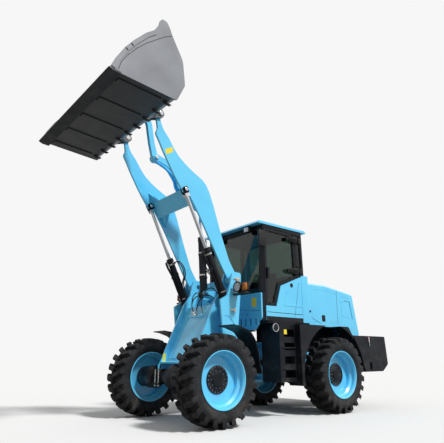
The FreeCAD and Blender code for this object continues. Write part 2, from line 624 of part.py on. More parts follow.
def makeLink():
    """The link from the bellcrank to the bucket, bowed where the bucket's back comes near it."""
    low, high = (size.linkLowX, size.linkLowZ), (size.linkHighX, size.linkHighZ)
    along, side = stepAlong(low, high)
    start, boss, length = Vector(low[0], 0, low[1]), size.linkBoss - 10, math.dist(low, high)
    # distance from the lower pin, bow of the middle line, half width, corner radius
    stations = [(-boss, 0, 26, 26), (-24, 0, boss, 40), (60, 0, 50, 200), (250, 2, size.linkHalf, 400), (430, 20, size.linkHalf, 300),
                (560, 36, size.linkHalf, 200), (670, 22, size.linkHalf, 200), (length + 20, 0, boss, 40), (length + boss, 0, 26, 26)]
    points = []
    for turn, table in ((1, stations), (-1, stations[::-1])):
        for far, bow, half, radius in table:
            corner = start + along * far + side * (bow + turn * half)
            points.append((corner.x, corner.z, radius))
    plate = prism("link_plate", points, "0 - linkThick / 2", "linkThick", holes=[(*high, size.linkPin + size.runGap)])
    node(plate, "bucket_link")
    reach = size.linkThick / 2 + size.linkEarGap + size.linkEarThick + 12
    node(crossBar("link_pin", *high, -reach, reach, "linkPin"), "link_pin")


BUCKET_SIDE = [  # (x, z) from the bucket's pins, round the side plate from the lip
    (1177, -113), (1139, -70), (1082, 72), (971, 274), (852, 440), (684, 637), (565, 740), (491, 870), (477, 943),
    (439, 998), (365, 988), (313, 915), (267, 804), (82, 481), (51, 219), (39, 95), (165, -182)]


def atBucket(points):
    return [(size.armTipX + point[0], size.armTipZ + point[1], *point[2:]) for point in points]


def wallBetween(points, thick):
    """Outline of a bent plate: a path of (u, v, radius) points and the same path set in by its thickness."""
    inner = []
    for index, (u, v, radius) in enumerate(points):
        here = Vector(u, v, 0)
        normals = []
        for start, end in ((index - 1, index), (index, index + 1)):
            if start >= 0 and end < len(points):
                step = Vector(*points[end][:2], 0) - Vector(*points[start][:2], 0)
                normals.append(Vector(step.y, -step.x, 0).normalize())
        middle = normals[0] + normals[-1]
        shift = middle * (2 * thick / middle.Length ** 2)
        inner.append((here.x + shift.x, here.y + shift.y, max(radius - thick, 0)))
    return list(points) + inner[::-1]


def bucketPath():
    """The bucket's outer profile from the lip round the heel and back to the top edge."""
    return atBucket([(1172, -113, 0), (165, -182, size.heelRadius), (39, 95, 60), (51, 219, 200), (82, 481, 400),
                     (267, 804, 300), (330, 940, 60), (400, 992, 0)])


def makeBucket():
    half, wall = size.bucketHalf, size.bucketWall
    shell = prism("bucket_wrap", wallBetween(bucketPath(), wall), "sideWall - bucketHalf", "2 * (bucketHalf - sideWall)")
    radii = [0, 0, 400, 600, 600, 600, 100, 100, 30, 30, 40, 60, 200, 300, 60, 60, 40]
    outline = atBucket([(*point, radius) for point, radius in zip(BUCKET_SIDE, radii)])
    sides = []
    for side in (-1, 1):
        start = "bucketHalf - sideWall" if side > 0 else "0 - bucketHalf"
        sides.append(prism(f"bucket_side_{'left' if side > 0 else 'right'}", outline, start, "sideWall"))
    node(fuse("bucket_shell", [shell] + sides + bucketWearParts()), "bucket_shell")
    lip, slope = Vector(1177, 0, -113), Vector(1012, 0, 69).normalize()
    under = Vector(slope.z, 0, -slope.x)
    corners = [lip, lip - slope * size.edgeDepth, lip - slope * size.edgeDepth + under * size.edgeThick,
               lip - slope * 60 + under * size.edgeThick]
    edge = prism("cutting_edge", atBucket([(corner.x, corner.z - 1) for corner in corners]), "0 - bucketHalf - edgeOver",
                 "2 * (bucketHalf + edgeOver)")
    node(edge, "cutting_edge")


def bucketWearParts():
    """Strips under the floor, ribs round the heel and thicker bands up the side plates' front edges."""
    lip, heel = Vector(1172, 0, -113), Vector(165, 0, -182)
    along = (lip - heel).normalize()
    down = Vector(along.z, 0, -along.x)
    pieces = []
    for start, end, thick, width, count, word in ((170, 830, 14, 90, 5, "strip"), (-10, 150, 30, 16, 9, "rib")):
        corners = [heel + along * start - down * 3, heel + along * end - down * 3,
                   heel + along * (end - thick) + down * thick, heel + along * (start + thick) + down * thick]
        outline = atBucket([(corner.x, corner.z) for corner in corners])
        spacing = 2 * (size.bucketHalf - 150) / (count - 1)
        for index in range(count):
            middle = (index - (count - 1) / 2) * spacing
            pieces.append(prism(f"bucket_{word}_{index}", outline, middle - width / 2, width))
    front = [(1139, -70), (1082, 72), (971, 274), (852, 440), (684, 637), (565, 740)]
    band = atBucket([(*point, 300) for point in wallBetween([(*point, 0) for point in front[::-1]], size.cutterBand)])
    for side in (-1, 1):
        start = "bucketHalf - 2" if side > 0 else "0 - bucketHalf - cutterThick + 2"
        pieces.append(prism(f"side_cutter_{'left' if side > 0 else 'right'}", band, start, "cutterThick"))
    return pieces


def makeBucketBrackets():
    """Ears on the bucket's back for the arm tips and the link."""
    tipOutline = atBucket([(200, -150), (200, 30), (64, 218), (-20, 70, 60), (-66, 20, 55), (-66, -40, 55),
                           (-10, -70, 50), (60, -92)])
    hole = (size.armTipX, size.armTipZ, size.armPin)
    pieces = []
    for tag, begin in (("inner", "armY - armThick / 2 - bracketGap - bracketThick"),
                       ("outer", "armY + armThick / 2 + bracketGap")):
        plate = prism(f"tip_bracket_{tag}_left", tipOutline, begin, "bracketThick", holes=[hole])
        pieces += [plate, mirrored(f"tip_bracket_{tag}_right", plate)]
    x, z = size.linkHighX - size.armTipX, size.linkHighZ - size.armTipZ
    ear = atBucket([(80, 140), (66, 230), (150, 470), (x - 10, z + 72, 50), (x - 68, z + 20, 50), (x - 68, z - 30, 50),
                    (x - 20, z - 72, 50)])
    plate = prism("link_ear_left", ear, "linkThick / 2 + linkEarGap", "linkEarThick",
                  holes=[(size.linkHighX, size.linkHighZ, size.linkPin)])
    pieces += [plate, mirrored("link_ear_right", plate)]
    body = prism("bucket_body", grown(bucketPath(), size.flushGap), "0 - bucketHalf", "2 * bucketHalf")
    trimmed = [cut(f"bucket_bracket_{index}", piece, [body]) for index, piece in enumerate(pieces)]
    node(group("bucket_brackets", trimmed), "bucket_brackets")
    half = size.armThick / 2 + size.bracketGap + size.bracketThick + 10
    tip = crossBar("bucket_pin", size.armTipX, size.armTipZ, size.armY - half, size.armY + half, "armPin")
    node(both("bucket_pins", tip), "bucket_pins")


# cylinders

def hose(name, points, y, radius):
    """A round hose along a path of (x, z, bend radius) points beside the XZ plane."""
    path = doc.addObject("Sketcher::SketchObject", name + "_path")
    path.Placement = FreeCAD.Placement(Vector(0, y, 0), PLANES["XZ"][0])
    path.addGeometry(roundedEdges(points)[:-1], False)
    first, second = Vector(points[0][0], y, points[0][1]), Vector(points[1][0], y, points[1][1])
    ring = doc.addObject("Part::Circle", name + "_ring")
    ring.Radius = radius
    ring.Placement = FreeCAD.Placement(first, FreeCAD.Rotation(Vector(0, 0, 1), second - first))
    piece = doc.addObject("Part::Sweep", name)
    piece.Sections = [ring]
    piece.Spine = (path, [])
    piece.Solid = True
    return piece


def barrelHose(name, start, along, y, barrel, length, shift, facing):
    """A hose from the port at a barrel's head to its base, along the side that faces forward or back, and its two clamps."""
    out = Vector(facing * along.z, 0, -facing * along.x)
    low, high = size.hosePortLow, length - size.hosePortHigh
    stand = barrel + size.hoseRadius + size.hoseGap
    stops = [(high, barrel - 6, 0), (high, stand + 26, 26), (high - 90, stand + 26, 60), (high - 240, stand, 90),
             (low + 70, stand, 60), (low, stand + 4, 26), (low, barrel - 6, 0)]
    points = []
    for reach, off, bend in stops:
        spot = start + along * reach + out * off
        points.append((spot.x, spot.z, bend))
    pieces = [hose(name + "_hose", points, y + shift, size.hoseRadius)]
    for tag, reach in (("low", low + 160), ("high", high - 260)):
        middle = start + along * reach
        pieces.append(bar(f"{name}_clamp_{tag}", middle, middle + along * size.clampWide, f"{barrel} + clampThick"))
        foot, head = middle + out * (barrel - 4), middle + out * (stand + size.hoseRadius + 3)
        half, tall = size.hoseRadius + 4, (head - foot).Length
        pieces.append(plateOn(f"{name}_clamp_block_{tag}", Vector(foot.x, y + shift, foot.z), Vector(0, 1, 0), out,
                              [(-half, 0), (half, 0), (half, tall), (-half, tall)], size.clampWide))
    return pieces

def makeCylinder(name, base, eye, y, barrel, rod, length, inside, baseEye, thick, basePin):
    """A cylinder in the XZ plane, closed end at its base: the barrel's node and the bare rod, short of its eye."""
    start, end = Vector(base[0], y, base[1]), Vector(eye[0], y, eye[1])
    along = (end - start).normalize()
    tube = bar(name + "_tube", start + along * (baseEye - 4), start + along * length, barrel)
    cap = bar(name + "_cap", start + along * (length - 70), start + along * length, f"{barrel} + 4")
    eyeBase = crossBar(name + "_base_eye", *base, y - thick / 2, y + thick / 2, baseEye)
    bore = crossBar(name + "_base_bore", *base, y - thick, y + thick, f"{basePin} + runGap")
    rodBore = bar(name + "_rod_bore", start + along * (baseEye + 40), start + along * (length + 1), f"{rod} + runGap")
    hoses = []
    for index, shift in enumerate((-size.hoseSpread / 2, size.hoseSpread / 2)):
        hoses += barrelHose(f"{name}_{index}", start, along, y, getattr(size, barrel), length, shift, -1 if y == 0 else 1)
    solid = fuse(name + "_barrel_solid", [tube, cap, eyeBase] + hoses)
    node(cut(name + "_barrel", solid, [bore, rodBore]), name + "_barrel")
    shaft = bar(name + "_shaft", start + along * (length - inside), end - along * size.liftEyeRadius, rod)
    return shaft, along, end


def makeCylinders():
    plate, cheek, eye = size.armThick / 2 + size.flushGap, size.forkCheek, size.liftEyeRadius
    for side, word in ((1, "left"), (-1, "right")):
        name, y = "lift_" + word, side * size.armY
        shaft, along, end = makeCylinder(name, (size.liftBaseX, size.liftBaseZ), (size.liftEyeX, size.liftEyeZ), y,
                                         "liftBarrel", "liftRod", size.liftBarrelLength, size.liftInside,
                                         size.liftBaseEye, size.liftBaseWidth, "liftPin")
        out = Vector(-along.z, 0, along.x)
        shaft.Height = shaft.Height.Value - size.forkReach + eye + 20
        rim = [end - along * size.forkReach - out * 34, end - along * size.forkReach + out * 34, end + out * eye,
               end + along * eye + out * eye, end + along * eye - out * eye, end - out * eye]
        radii = [10, 10, 60, eye - 0.5, eye - 0.5, 60]
        outline = [(point.x, point.z, radius) for point, radius in zip(rim, radii)]
        pieces = [shaft]
        for tag, low in (("inner", y - side * (plate + cheek)), ("outer", y + side * plate)):
            low, high = sorted((low, low + side * cheek))
            pieces.append(prism(f"{name}_fork_{tag}", outline, low, high - low))
        near, far = size.forkReach - 4, size.forkReach - 36
        bridge = [end - along * near - out * 33, end - along * near + out * 33, end - along * far + out * 33,
                  end - along * far - out * 33]
        pieces.append(prism(name + "_fork_bridge", [(point.x, point.z) for point in bridge], y - plate - cheek + 1,
                            2 * (plate + cheek - 1)))
        for turn, tag in ((1, "left"), (-1, "right")):
            begin, far = y + turn * (plate + cheek - 1), y + turn * (plate + cheek + 12)
            pieces.append(crossBar(f"{name}_eye_head_{tag}", size.liftEyeX, size.liftEyeZ, begin, far, "liftPin"))
        node(fuse(name + "_rod", pieces), name + "_rod")
    width = size.crankGap - 2 * size.flushGap
    shaft, along, end = makeCylinder("tilt", (size.tiltBaseX, size.tiltBaseZ), (size.tiltEyeX, size.tiltEyeZ), 0, "tiltBarrel",
                                     "tiltRod", size.tiltBarrelLength, size.tiltInside, size.tiltEyeRadius,
                                     size.tiltEarGap - 2 * size.flushGap, "tiltPin")
    head = crossBar("tilt_rod_eye", size.tiltEyeX, size.tiltEyeZ, -width / 2, width / 2, "tiltEyeRadius")
    node(fuse("tilt_rod", [shaft, head]), "tilt_rod")


def makeSteering():
    """Two cylinders low between the frames, lying along the machine."""
    z, closed = size.steerZ, size.steerClosed
    baseHalf, eyeHalf = size.steerBaseGap / 2 - size.flushGap, size.steerEyeGap / 2 - size.flushGap
    for side, word in ((1, "left"), (-1, "right")):
        start = Vector(size.steerRearX, side * size.steerRearY, z)
        end = Vector(size.steerFrontX, side * size.steerFrontY, z)
        along, lift = (end - start).normalize(), Vector(0, 0, 1)
        name = "steer_" + word
        tube = bar(name + "_tube", start + along * 24, start + along * closed, "steerBarrel")
        eye = bar(name + "_base_eye", start - lift * baseHalf, start + lift * baseHalf, 32)
        bore = bar(name + "_base_bore", start - lift * 50, start + lift * 50, "steerPin + runGap")
        rodBore = bar(name + "_rod_bore", start + along * 58, start + along * (closed + 1), "steerRod + runGap")
        node(cut(name + "_barrel", fuse(name + "_barrel_solid", [tube, eye]), [bore, rodBore]), name + "_barrel")
        shaft = bar(name + "_shaft", start + along * (closed - 180), end - along * 20, "steerRod")
        rodEye = bar(name + "_rod_eye", end - lift * eyeHalf, end + lift * eyeHalf, 30)
        node(fuse(name + "_rod", [shaft, rodEye]), name + "_rod")


# rear frame

def makeRearFrame():
    low, high = size.railBottom, size.railTop
    rails = []
    for side in (-1, 1):
        word = "left" if side > 0 else "right"
        start = "railY - railWidth / 2" if side > 0 else "0 - railY - railWidth / 2"
        rear = size.counterRear + 60
        outline = [(-440, 500), (-420, 1100), (-700, 1100, 80), (-900, high), (rear, high), (rear, low), (-760, low), (-640, 500)]
        rails.append(prism("rail_" + word, outline, start, "railWidth"))
    across, start = "2 * railY", "0 - railY"
    pieces = rails
    pieces.append(prism("rear_bulkhead", [(-470, 500), (-440, 500), (-440, 1100), (-470, 1100)], start, across))
    pieces.append(prism("rear_cross", [(-2300, low), (-2250, low), (-2250, high), (-2300, high)], start, across))
    for word, level in (("Low", size.hingeLow), ("High", size.hingeHigh)):
        for tag, shift in (("under", f"0 - lugThick / 2 - forkGap - forkThick"), ("over", "lugThick / 2 + forkGap")):
            fork = [(-445, -230), (size.pivotX - 60, -size.lugRadius), (size.pivotX + size.lugRadius, -size.lugRadius, 100),
                    (size.pivotX + size.lugRadius, size.lugRadius, 100), (size.pivotX - 60, size.lugRadius), (-445, 230)]
            pieces.append(prism(f"fork_{word}_{tag}", fork, f"hinge{word} + {shift}", "forkThick", "XY",
                                holes=[(size.pivotX, 0, size.pivotPin)]))
    for side in (-1, 1):
        word = "left" if side > 0 else "right"
        near, far = side * (size.steerRearY - 36), side * (size.railY - size.railWidth / 2 + 5)
        x = size.steerRearX
        ear = [(x - 36, near, 30), (x - 36, far), (x + 90, far), (x + 36, near, 30)]
        for tag, level in (("under", "steerZ - steerBaseGap / 2 - steerEar"), ("over", "steerZ + steerBaseGap / 2")):
            pieces.append(prism(f"rear_steer_ear_{tag}_{word}", ear, level, "steerEar", "XY",
                                holes=[(x, side * size.steerRearY, size.steerPin)]))
    wide, tall = size.steerRearY + 70, size.steerBaseGap / 2 + 30
    window = block("steer_window", (-480, -wide, size.steerZ - tall), (-430, wide, size.steerZ + tall))
    node(cut("rear_frame", fuse("rear_frame_solid", pieces), [window]), "rear_frame")
    pins = []
    for word, level in (("low", size.hingeLow), ("high", size.hingeHigh)):
        reach = size.lugThick / 2 + size.forkGap + size.forkThick + 8
        pins.append(bar("pivot_pin_" + word, (size.pivotX, 0, level - reach), (size.pivotX, 0, level + reach), "pivotPin"))
    steerPins = []
    for side in (-1, 1):
        word = "left" if side > 0 else "right"
        x, y, reach = size.steerRearX, side * size.steerRearY, size.steerBaseGap / 2 + size.steerEar + 8
        steerPins.append(bar("steer_base_pin_" + word, (x, y, size.steerZ - reach), (x, y, size.steerZ + reach), "steerPin"))
    node(group("rear_pins", pins + steerPins), "rear_pins")


def makeEngine():
    node(block("engine", (-2230, -340, size.railTop), (-1420, 340, 1640)), "engine")


def makeCounterweight():
    front, rear = size.counterFront, size.counterRear
    top, bottom = size.counterTop, size.counterBottom
    outline = [(front, top), (rear + 30, top, 30), (rear, bottom + 120, 60), (rear + 180, bottom, 40), (-2275, bottom),
               (-2235, 700), (-2180, 900), (-2075, 1080)]
    casting = prism("counterweight_solid", outline, "0 - fenderOuter", "2 * fenderOuter")
    inner = size.railY + size.railWidth / 2 + size.flushGap
    recess = block("counterweight_rails", (rear + 60 - size.flushGap, -inner, bottom - 10),
                   (front + 10, inner, size.railTop + size.flushGap))
    bay = block("counterweight_bay", (-2270, -360, bottom), (front + 10, 360, top + 10))
    slots = []
    for side in (-1, 1):
        low, high = sorted((side * (size.fenderOuter - 60), side * (size.fenderOuter + 10)))
        slots.append(block(f"counter_slot_{'left' if side > 0 else 'right'}", (-2480, low, 640), (-2420, high, 760)))
    weight = cut("counterweight_cast", casting, [recess, bay] + slots)
    x, z, pin = size.hoodHingeX, size.hoodHingeZ, size.hoodPin
    hinges = []
    for side in (-1, 1):
        word = "left" if side > 0 else "right"
        middle = side * size.hoodHingeY
        for tag, low in (("inner", middle - 24), ("outer", middle + 10)):
            hinges.append(block(f"hood_ear_{tag}_{word}", (x - 16, low, top - 5), (x + 16, low + 14, z + 18)))
        hinges.append(crossBar(f"hood_pin_{word}", x, z, middle - 30, middle + 30, "hoodPin"))
    node(fuse("counterweight", [weight] + hinges), "counterweight")


def makeRearFenders():
    """Side skirts with the rear wheel arch, between the steps and the counterweight."""
    thick, top = size.skirtThick, size.deckTop - size.deckThick - size.flushGap
    front, rear = size.skirtFront, size.counterFront + size.flushGap
    inner, width = "bodyHalf - skirtThick", "fenderOuter - bodyHalf"
    outline = [(front, 440), (front, top), (-1870, top, 60), (-1960, 1222), (rear, 1217), (rear, 1100), (-1700, 440)]
    side = prism("rear_fender_plate", outline, "fenderOuter - skirtThick", "skirtThick")
    lid = prism("rear_fender_top", [(front, top - thick), (front, top), (-1870, top, 60), (-1960, 1222), (-1960, 1195),
                                    (-1875, top - thick - 8, 50)], inner, width)
    facing = prism("rear_fender_front", [(front, 440), (front, top - 10), (front - thick, top - 10), (front - thick, 440)],
                   inner, width)
    hole = crossBar("rear_arch", size.rearAxleX, size.tyreRadius, 0, size.fenderOuter + 50, "archRadius")
    fender = cut("rear_fender", fuse("rear_fender_solid", [side, lid, facing]), [hole])
    node(both("rear_fenders", fender), "rear_fenders")


def makeSteps():
    """Step boxes under the doors: fuel tank on the left, tool box on the right."""
    outer, top = size.boxOuter, size.deckTop - size.deckThick - size.flushGap
    box = block("step_box", (size.skirtFront + size.flushGap, 460, 500), (-230, outer, top))
    treads = []
    for index in range(4):
        z = 560 + 200 * index
        treads.append(block(f"step_recess_{index}", (-560, outer - 150, z), (-330, outer + 10, z + 110)))
    node(both("step_boxes", cut("step_box_cut", box, treads)), "step_boxes")


def makeDeck():
    """The cab's floor plate with its walkways and the posts that stand on the frame."""
    outer, front, back = size.boxOuter, -62, -600
    walk = [(back, -outer), (front - 38, -outer), (front, 70 - outer), (front, outer - 70), (front - 38, outer), (back, outer)]
    pieces = [prism("deck_walk", walk, "deckTop - deckThick", "deckThick", "XY"),
              block("deck_base", (size.hoodFront + 11, -size.bodyHalf + 10, size.deckTop - size.deckThick),
                    (back + 1, size.bodyHalf - 10, size.deckTop))]
    for word, x, bottom in (("front", -540, 1100), ("rear", -1000, size.railTop)):
        for side in (-1, 1):
            y = side * size.railY
            pieces.append(block(f"deck_post_{word}_{'left' if side > 0 else 'right'}", (x - 50, y - 40, bottom),
                                (x + 50, y + 40, size.deckTop - 10)))
    node(fuse("deck_plate", pieces), "deck_plate")


# cab

DOOR = [(-106, 1640), (-330, 1640), (-445, 1975), (-870, 2140), (-846, 2890), (-124, 2910)]
RIGHT_WINDOW = [(-130, 1700, 30), (-330, 1700, 30), (-450, 2010, 30), (-860, 2170, 30), (-850, 2880, 30), (-150, 2890, 30)]
QUARTER_WINDOW = [(-935, 2230, 20), (-1000, 2240, 20), (-996, 2890, 20), (-925, 2890, 20)]


def windscreen():
    half = size.bodyHalf - 90
    return [(-half, 1850, 40), (half, 1850, 40), (half, 2880, 60), (-half, 2880, 60)]


def rearWindow():
    half = size.bodyHalf - 100
    return [(-half, 2230, 40), (half, 2230, 40), (half, 2890, 60), (-half, 2890, 60)]


def makeCab():
    front, rear, floor, wall = size.cabFront, size.cabRear, size.cabFloor, size.cabWall
    half, top = size.bodyHalf, size.roofBottom
    profile = [(front, floor), (front - 19, 1836), (front - 57, top), (rear + 10, top), (rear, 2195), (rear, floor)]
    inner = [(front - wall, floor + 30), (front - 19 - wall, 1836), (front - 55 - wall, top - 50),
             (rear + 10 + wall, top - 50), (rear + wall, 2195), (rear + wall, floor + 30)]
    outside = prism("cab_outside", profile, "0 - bodyHalf", "2 * bodyHalf")
    through = "cabWall + 20"
    tools = [prism("cab_inside", inner, "cabWall - bodyHalf", "2 * (bodyHalf - cabWall)"),
             prism("door_opening", grown(DOOR, size.doorGap), "bodyHalf - cabWall - 10", through),
             prism("right_window", RIGHT_WINDOW, "0 - bodyHalf - 10", through),
             prism("windscreen_opening", windscreen(), "cabFront - 120", 200, "YZ"),
             prism("rear_opening", rearWindow(), "cabRear - 20", 120, "YZ")]
    for side, word, start in ((1, "left", "bodyHalf - cabWall - 10"), (-1, "right", "0 - bodyHalf - 10")):
        tools.append(prism(f"quarter_window_{word}", QUARTER_WINDOW, start, through))
        corner = [(front + 10, side * (half - 95)), (front + 10, side * (half + 20)), (front - 77, side * (half + 20))]
        tools.append(prism(f"pillar_chamfer_{word}", corner, 1840, 1200, "XY"))
    node(cut("cab_frame", outside, tools), "cab_frame")
    roof = [(front + 65, top), (front + 40, size.roofTop, 20), (rear - 80, size.roofTop, 20), (rear - 110, top)]
    node(prism("cab_roof", roof, "0 - bodyHalf - 12", "2 * (bodyHalf + 12)"), "cab_roof")


def grown(points, gap):
    """The same outline with its corner radii, set out by a gap."""
    turning = sum(points[index - 1][0] * point[1] - point[0] * points[index - 1][1] for index, point in enumerate(points))
    sense = 1 if turning > 0 else -1
    result = []
    for index, point in enumerate(points):
        here = Vector(point[0], point[1], 0)
        before = here - Vector(*points[index - 1][:2], 0)
        ahead = Vector(*points[(index + 1) % len(points)][:2], 0) - here
        middle = Vector(0, 0, 0)
        for step in (before, ahead):
            middle += Vector(step.y, -step.x, 0).normalize() * sense
        shift = middle * (2 * gap / middle.Length ** 2)
        radius = point[2] if len(point) > 2 else 0
        result.append((here.x + shift.x, here.y + shift.y, max(radius + gap, 0) if radius else 0))
    return result


def makeCabGlass():
    """Fixed panes, set in the middle of their openings' walls."""
    gap, thick = -size.flushGap, size.glassThick
    screen = grown(windscreen(), gap)
    lean = 38 / (size.roofBottom - 1836)
    outline = []
    for z, depth in ((screen[0][1], 0), (screen[2][1], 0), (screen[2][1], thick), (screen[0][1], thick)):
        outline.append((size.cabFront - 39 - depth - lean * (z - 1836), z))
    slab = prism("windscreen_slab", outline, "0 - bodyHalf", "2 * bodyHalf")
    panes = [common("windscreen_pane", slab, prism("windscreen_outline", screen, "cabFront - 120", 200, "YZ")),
             prism("right_pane", grown(RIGHT_WINDOW, gap), "0 - bodyHalf + 20", "glassThick"),
             prism("rear_pane", grown(rearWindow(), gap), "cabRear + 22", "glassThick", "YZ")]
    for word, start in (("left", "bodyHalf - 20 - glassThick"), ("right", "0 - bodyHalf + 20")):
        panes.append(prism(f"quarter_pane_{word}", grown(QUARTER_WINDOW, gap), start, "glassThick"))
    node(group("cab_glass", panes), "cab_glass")


def makeDoor():
    outline = [(*point, 12) for point in DOOR]
    opening = [(*point[:2], 16) for point in grown(DOOR, -46)]
    leaf = cut("door_leaf", prism("door_plate", outline, "bodyHalf - cabWall", "cabWall"),
               [prism("door_window", opening, "bodyHalf - cabWall - 10", "cabWall + 20")])
    x, half = size.hingePinX, size.bodyHalf
    y = half + size.hingeOut
    leafPieces, framePieces = [], []
    for index, z in enumerate((2290, 2850)):
        knuckle = bar(f"door_knuckle_{index}", (x, y, z - 28), (x, y, z + 28), 12)
        strap = block(f"door_strap_{index}", (x, y - 4, z - 22), (-800, y + 8, z + 22))
        foot = block(f"door_strap_foot_{index}", (-846, half - 4, z - 22), (-800, y, z + 22))
        bore = bar(f"door_bore_{index}", (x, y, z - 40), (x, y, z + 40), "doorPin + runGap")
        leafPieces.append(cut(f"door_hinge_{index}", fuse(f"door_hinge_solid_{index}", [knuckle, strap, foot]), [bore]))
        hinge = [bar(f"hinge_pin_{index}", (x, y, z - 50), (x, y, z + 50), "doorPin")]
        for tag, level in (("under", z - 48), ("over", z + 30)):
            hinge.append(block(f"hinge_ear_{index}_{tag}", (x - 20, half + size.flushGap, level), (x + 14, y + 12, level + 18)))
        framePieces.append(fuse(f"frame_hinge_{index}", hinge))
    handle = block("door_handle", (-190, half - 2, 2060), (-150, half + 30, 2240))
    node(fuse("door_frame", [leaf, handle] + leafPieces), "door_frame")
    node(prism("door_glass", grown(opening, -size.flushGap), "bodyHalf - 26", "glassThick"), "door_glass")
    node(group("door_hinges", framePieces), "door_hinges")


def makeCabInside():
    floor = size.cabFloor + 30 + size.flushGap
    node(fuse("seat_base", [block("seat_box", (-830, -190, floor), (-470, 190, 1690)),
                            block("seat_rail", (-850, -220, 1690), (-450, 220, 1720))]), "seat_base")
    cushion = [(-860, 1720), (-400, 1720, 30), (-390, 1840, 50), (-740, 1830, 40), (-830, 2330, 60), (-930, 2330, 50)]
    node(prism("seat_cushion", cushion, -230, 460), "seat_cushion")
    centre, radius = Vector(-336, 0, 2032), 190
    lean = FreeCAD.Rotation(Vector(0, 0, 1), Vector(-150, 0, 580))
    ring = doc.addObject("Part::Torus", "steering_ring")
    ring.Radius1, ring.Radius2 = radius, 15
    ring.Placement = FreeCAD.Placement(centre, lean)
    pieces = [ring, bar("steering_hub", (-330, 0, 2010), (-341, 0, 2052), 45), bar("column", (-215, 0, 1560), (-330, 0, 2010), 38),
              block("console", (-300, -110, floor), (-140, 110, 1700))]
    for index in range(3):
        angle = math.radians(90 + 120 * index)
        tip = lean.multVec(Vector(radius * math.cos(angle), radius * math.sin(angle), 0)) + centre
        pieces.append(bar(f"steering_spoke_{index}", centre, tip, 9))
    node(fuse("steering_wheel", pieces), "steering_wheel")


def makeCabSkirts():
    """Blue bodywork: the panel under the windscreen and the sides beneath the doors."""
    low, half = size.deckTop + 2, size.bodyHalf
    frontPanel = [(-half, low, 60), (half, low, 60), (half, 1830, 20), (-half, 1830, 20)]
    frontSkirt = prism("cab_front_panel", frontPanel, "cabFront + flushGap", "frontPanel", "YZ")
    edge = [point[:2] for point in grown(DOOR, size.doorGap)[:4]]
    side = [(-106, low), (-960, low), (-960, 2165), (-888, edge[3][1])] + edge[3:0:-1] + [(-106, edge[0][1])]
    panel = prism("cab_side_panel", side, "bodyHalf + flushGap", "sidePanel")
    node(group("cab_skirts", [frontSkirt, panel, mirrored("cab_side_panel_right", panel)]), "cab_skirts")


HOOD_PANELS = [  # sunk fields in the hood's sides: outlines of (x, z, corner radius)
    [(-1225, 1440, 30), (-1225, 1985, 30), (-1620, 1990, 60), (-1925, 1950, 30), (-1925, 1440, 30)],
    [(-2035, 1340, 30), (-2035, 1935, 30), (-2330, 1895, 50), (-2430, 1340, 30)]]


def hoodDetails(top):
    """Tools for the hood's chamfered top edges, sunk side fields and the grille in its rear wall."""
    half, chamfer = size.bodyHalf, size.hoodChamfer
    tools = []
    slope = Vector(-775, 0, -96).normalize()
    upward = Vector(slope.z, 0, -slope.x)
    for side in (-1, 1):
        word = "left" if side > 0 else "right"
        corner = [(side * (half - chamfer), 4), (side * (half + 4), 4), (side * (half + 4), -chamfer)]
        level = [(u, v + top + 3) for u, v in corner]
        tools.append(prism("hood_chamfer_" + word, level, -1640, 520, "YZ"))
        tools.append(plateOn("hood_chamfer_slope_" + word, Vector(-2480, 0, 1980), Vector(0, 1, 0), upward, corner, 860))
        start = "bodyHalf - fieldDepth" if side > 0 else "0 - bodyHalf - 10"
        for index, outline in enumerate(HOOD_PANELS):
            tools.append(prism(f"hood_field_{word}_{index}", outline, start, "fieldDepth + 10"))
    for index in range(size.grilleBars):
        z = size.grilleBottom + index * size.grillePitch
        tools.append(block(f"grille_slot_{index}", (size.hoodRear - 10, -430, z), (-2380, 430, z + 0.45 * size.grillePitch)))
    return tools


def makeHood():
    front, rear, wall, half = size.hoodFront, size.hoodRear, size.hoodWall, size.bodyHalf
    side, cabRear = half + size.flushGap, size.cabRear
    shroud = prism("shroud_outside", [(-966, 1402), (-966, 2185), (front + 6, 2190), (front + 6, 1402)],
                   -side - size.sidePanel, 2 * (side + size.sidePanel))
    clear = block("shroud_hollow", (cabRear - size.flushGap, -side, 1390), (0, side, 2300))
    hollow = block("shroud_inside", (front + 26, -half + 20, 1390), (cabRear + 1, half - 20, 2150))
    node(cut("rear_shroud", shroud, [clear, hollow]), "rear_shroud")
    top, roofLow = 2082, 1990
    outline = [(front, 1361), (front, top, 20), (-1625, top + 4, 150), (-2400, roofLow, 70), (rear, 1256), (-2490, 1226),
               (-1970, 1226), (-1878, 1361)]
    inner = [(front + 1, 1200), (front + 1, top - wall), (-1625, top + 4 - wall, 130), (-2400 + wall, roofLow - wall, 50),
             (rear + wall + 2, 1200)]
    tools = [prism("hood_inside", inner, "hoodWall - bodyHalf", "2 * (bodyHalf - hoodWall)")]
    tools += hoodDetails(top)
    x, z, eyeHalf = size.hoodHingeX, size.hoodHingeZ, 10 - size.flushGap
    knuckles = []
    for turn, word in ((1, "left"), (-1, "right")):
        y = turn * size.hoodHingeY
        tools.append(block(f"hood_notch_{word}", (rear - 5, y - 34, 1200), (x + 38, y + 34, z + 32)))
        eye = block(f"hood_eye_{word}", (x - 20, y - eyeHalf, z - 16), (x + 17, y + eyeHalf, z + 68))
        bore = crossBar(f"hood_eye_bore_{word}", x, z, y - 20, y + 20, "hoodPin + runGap")
        knuckles.append(cut(f"hood_knuckle_{word}", eye, [bore]))
    shell = cut("hood_shell", prism("hood_outside", outline, "0 - bodyHalf", "2 * bodyHalf"), tools)
    node(fuse("hood", [shell] + knuckles), "hood")


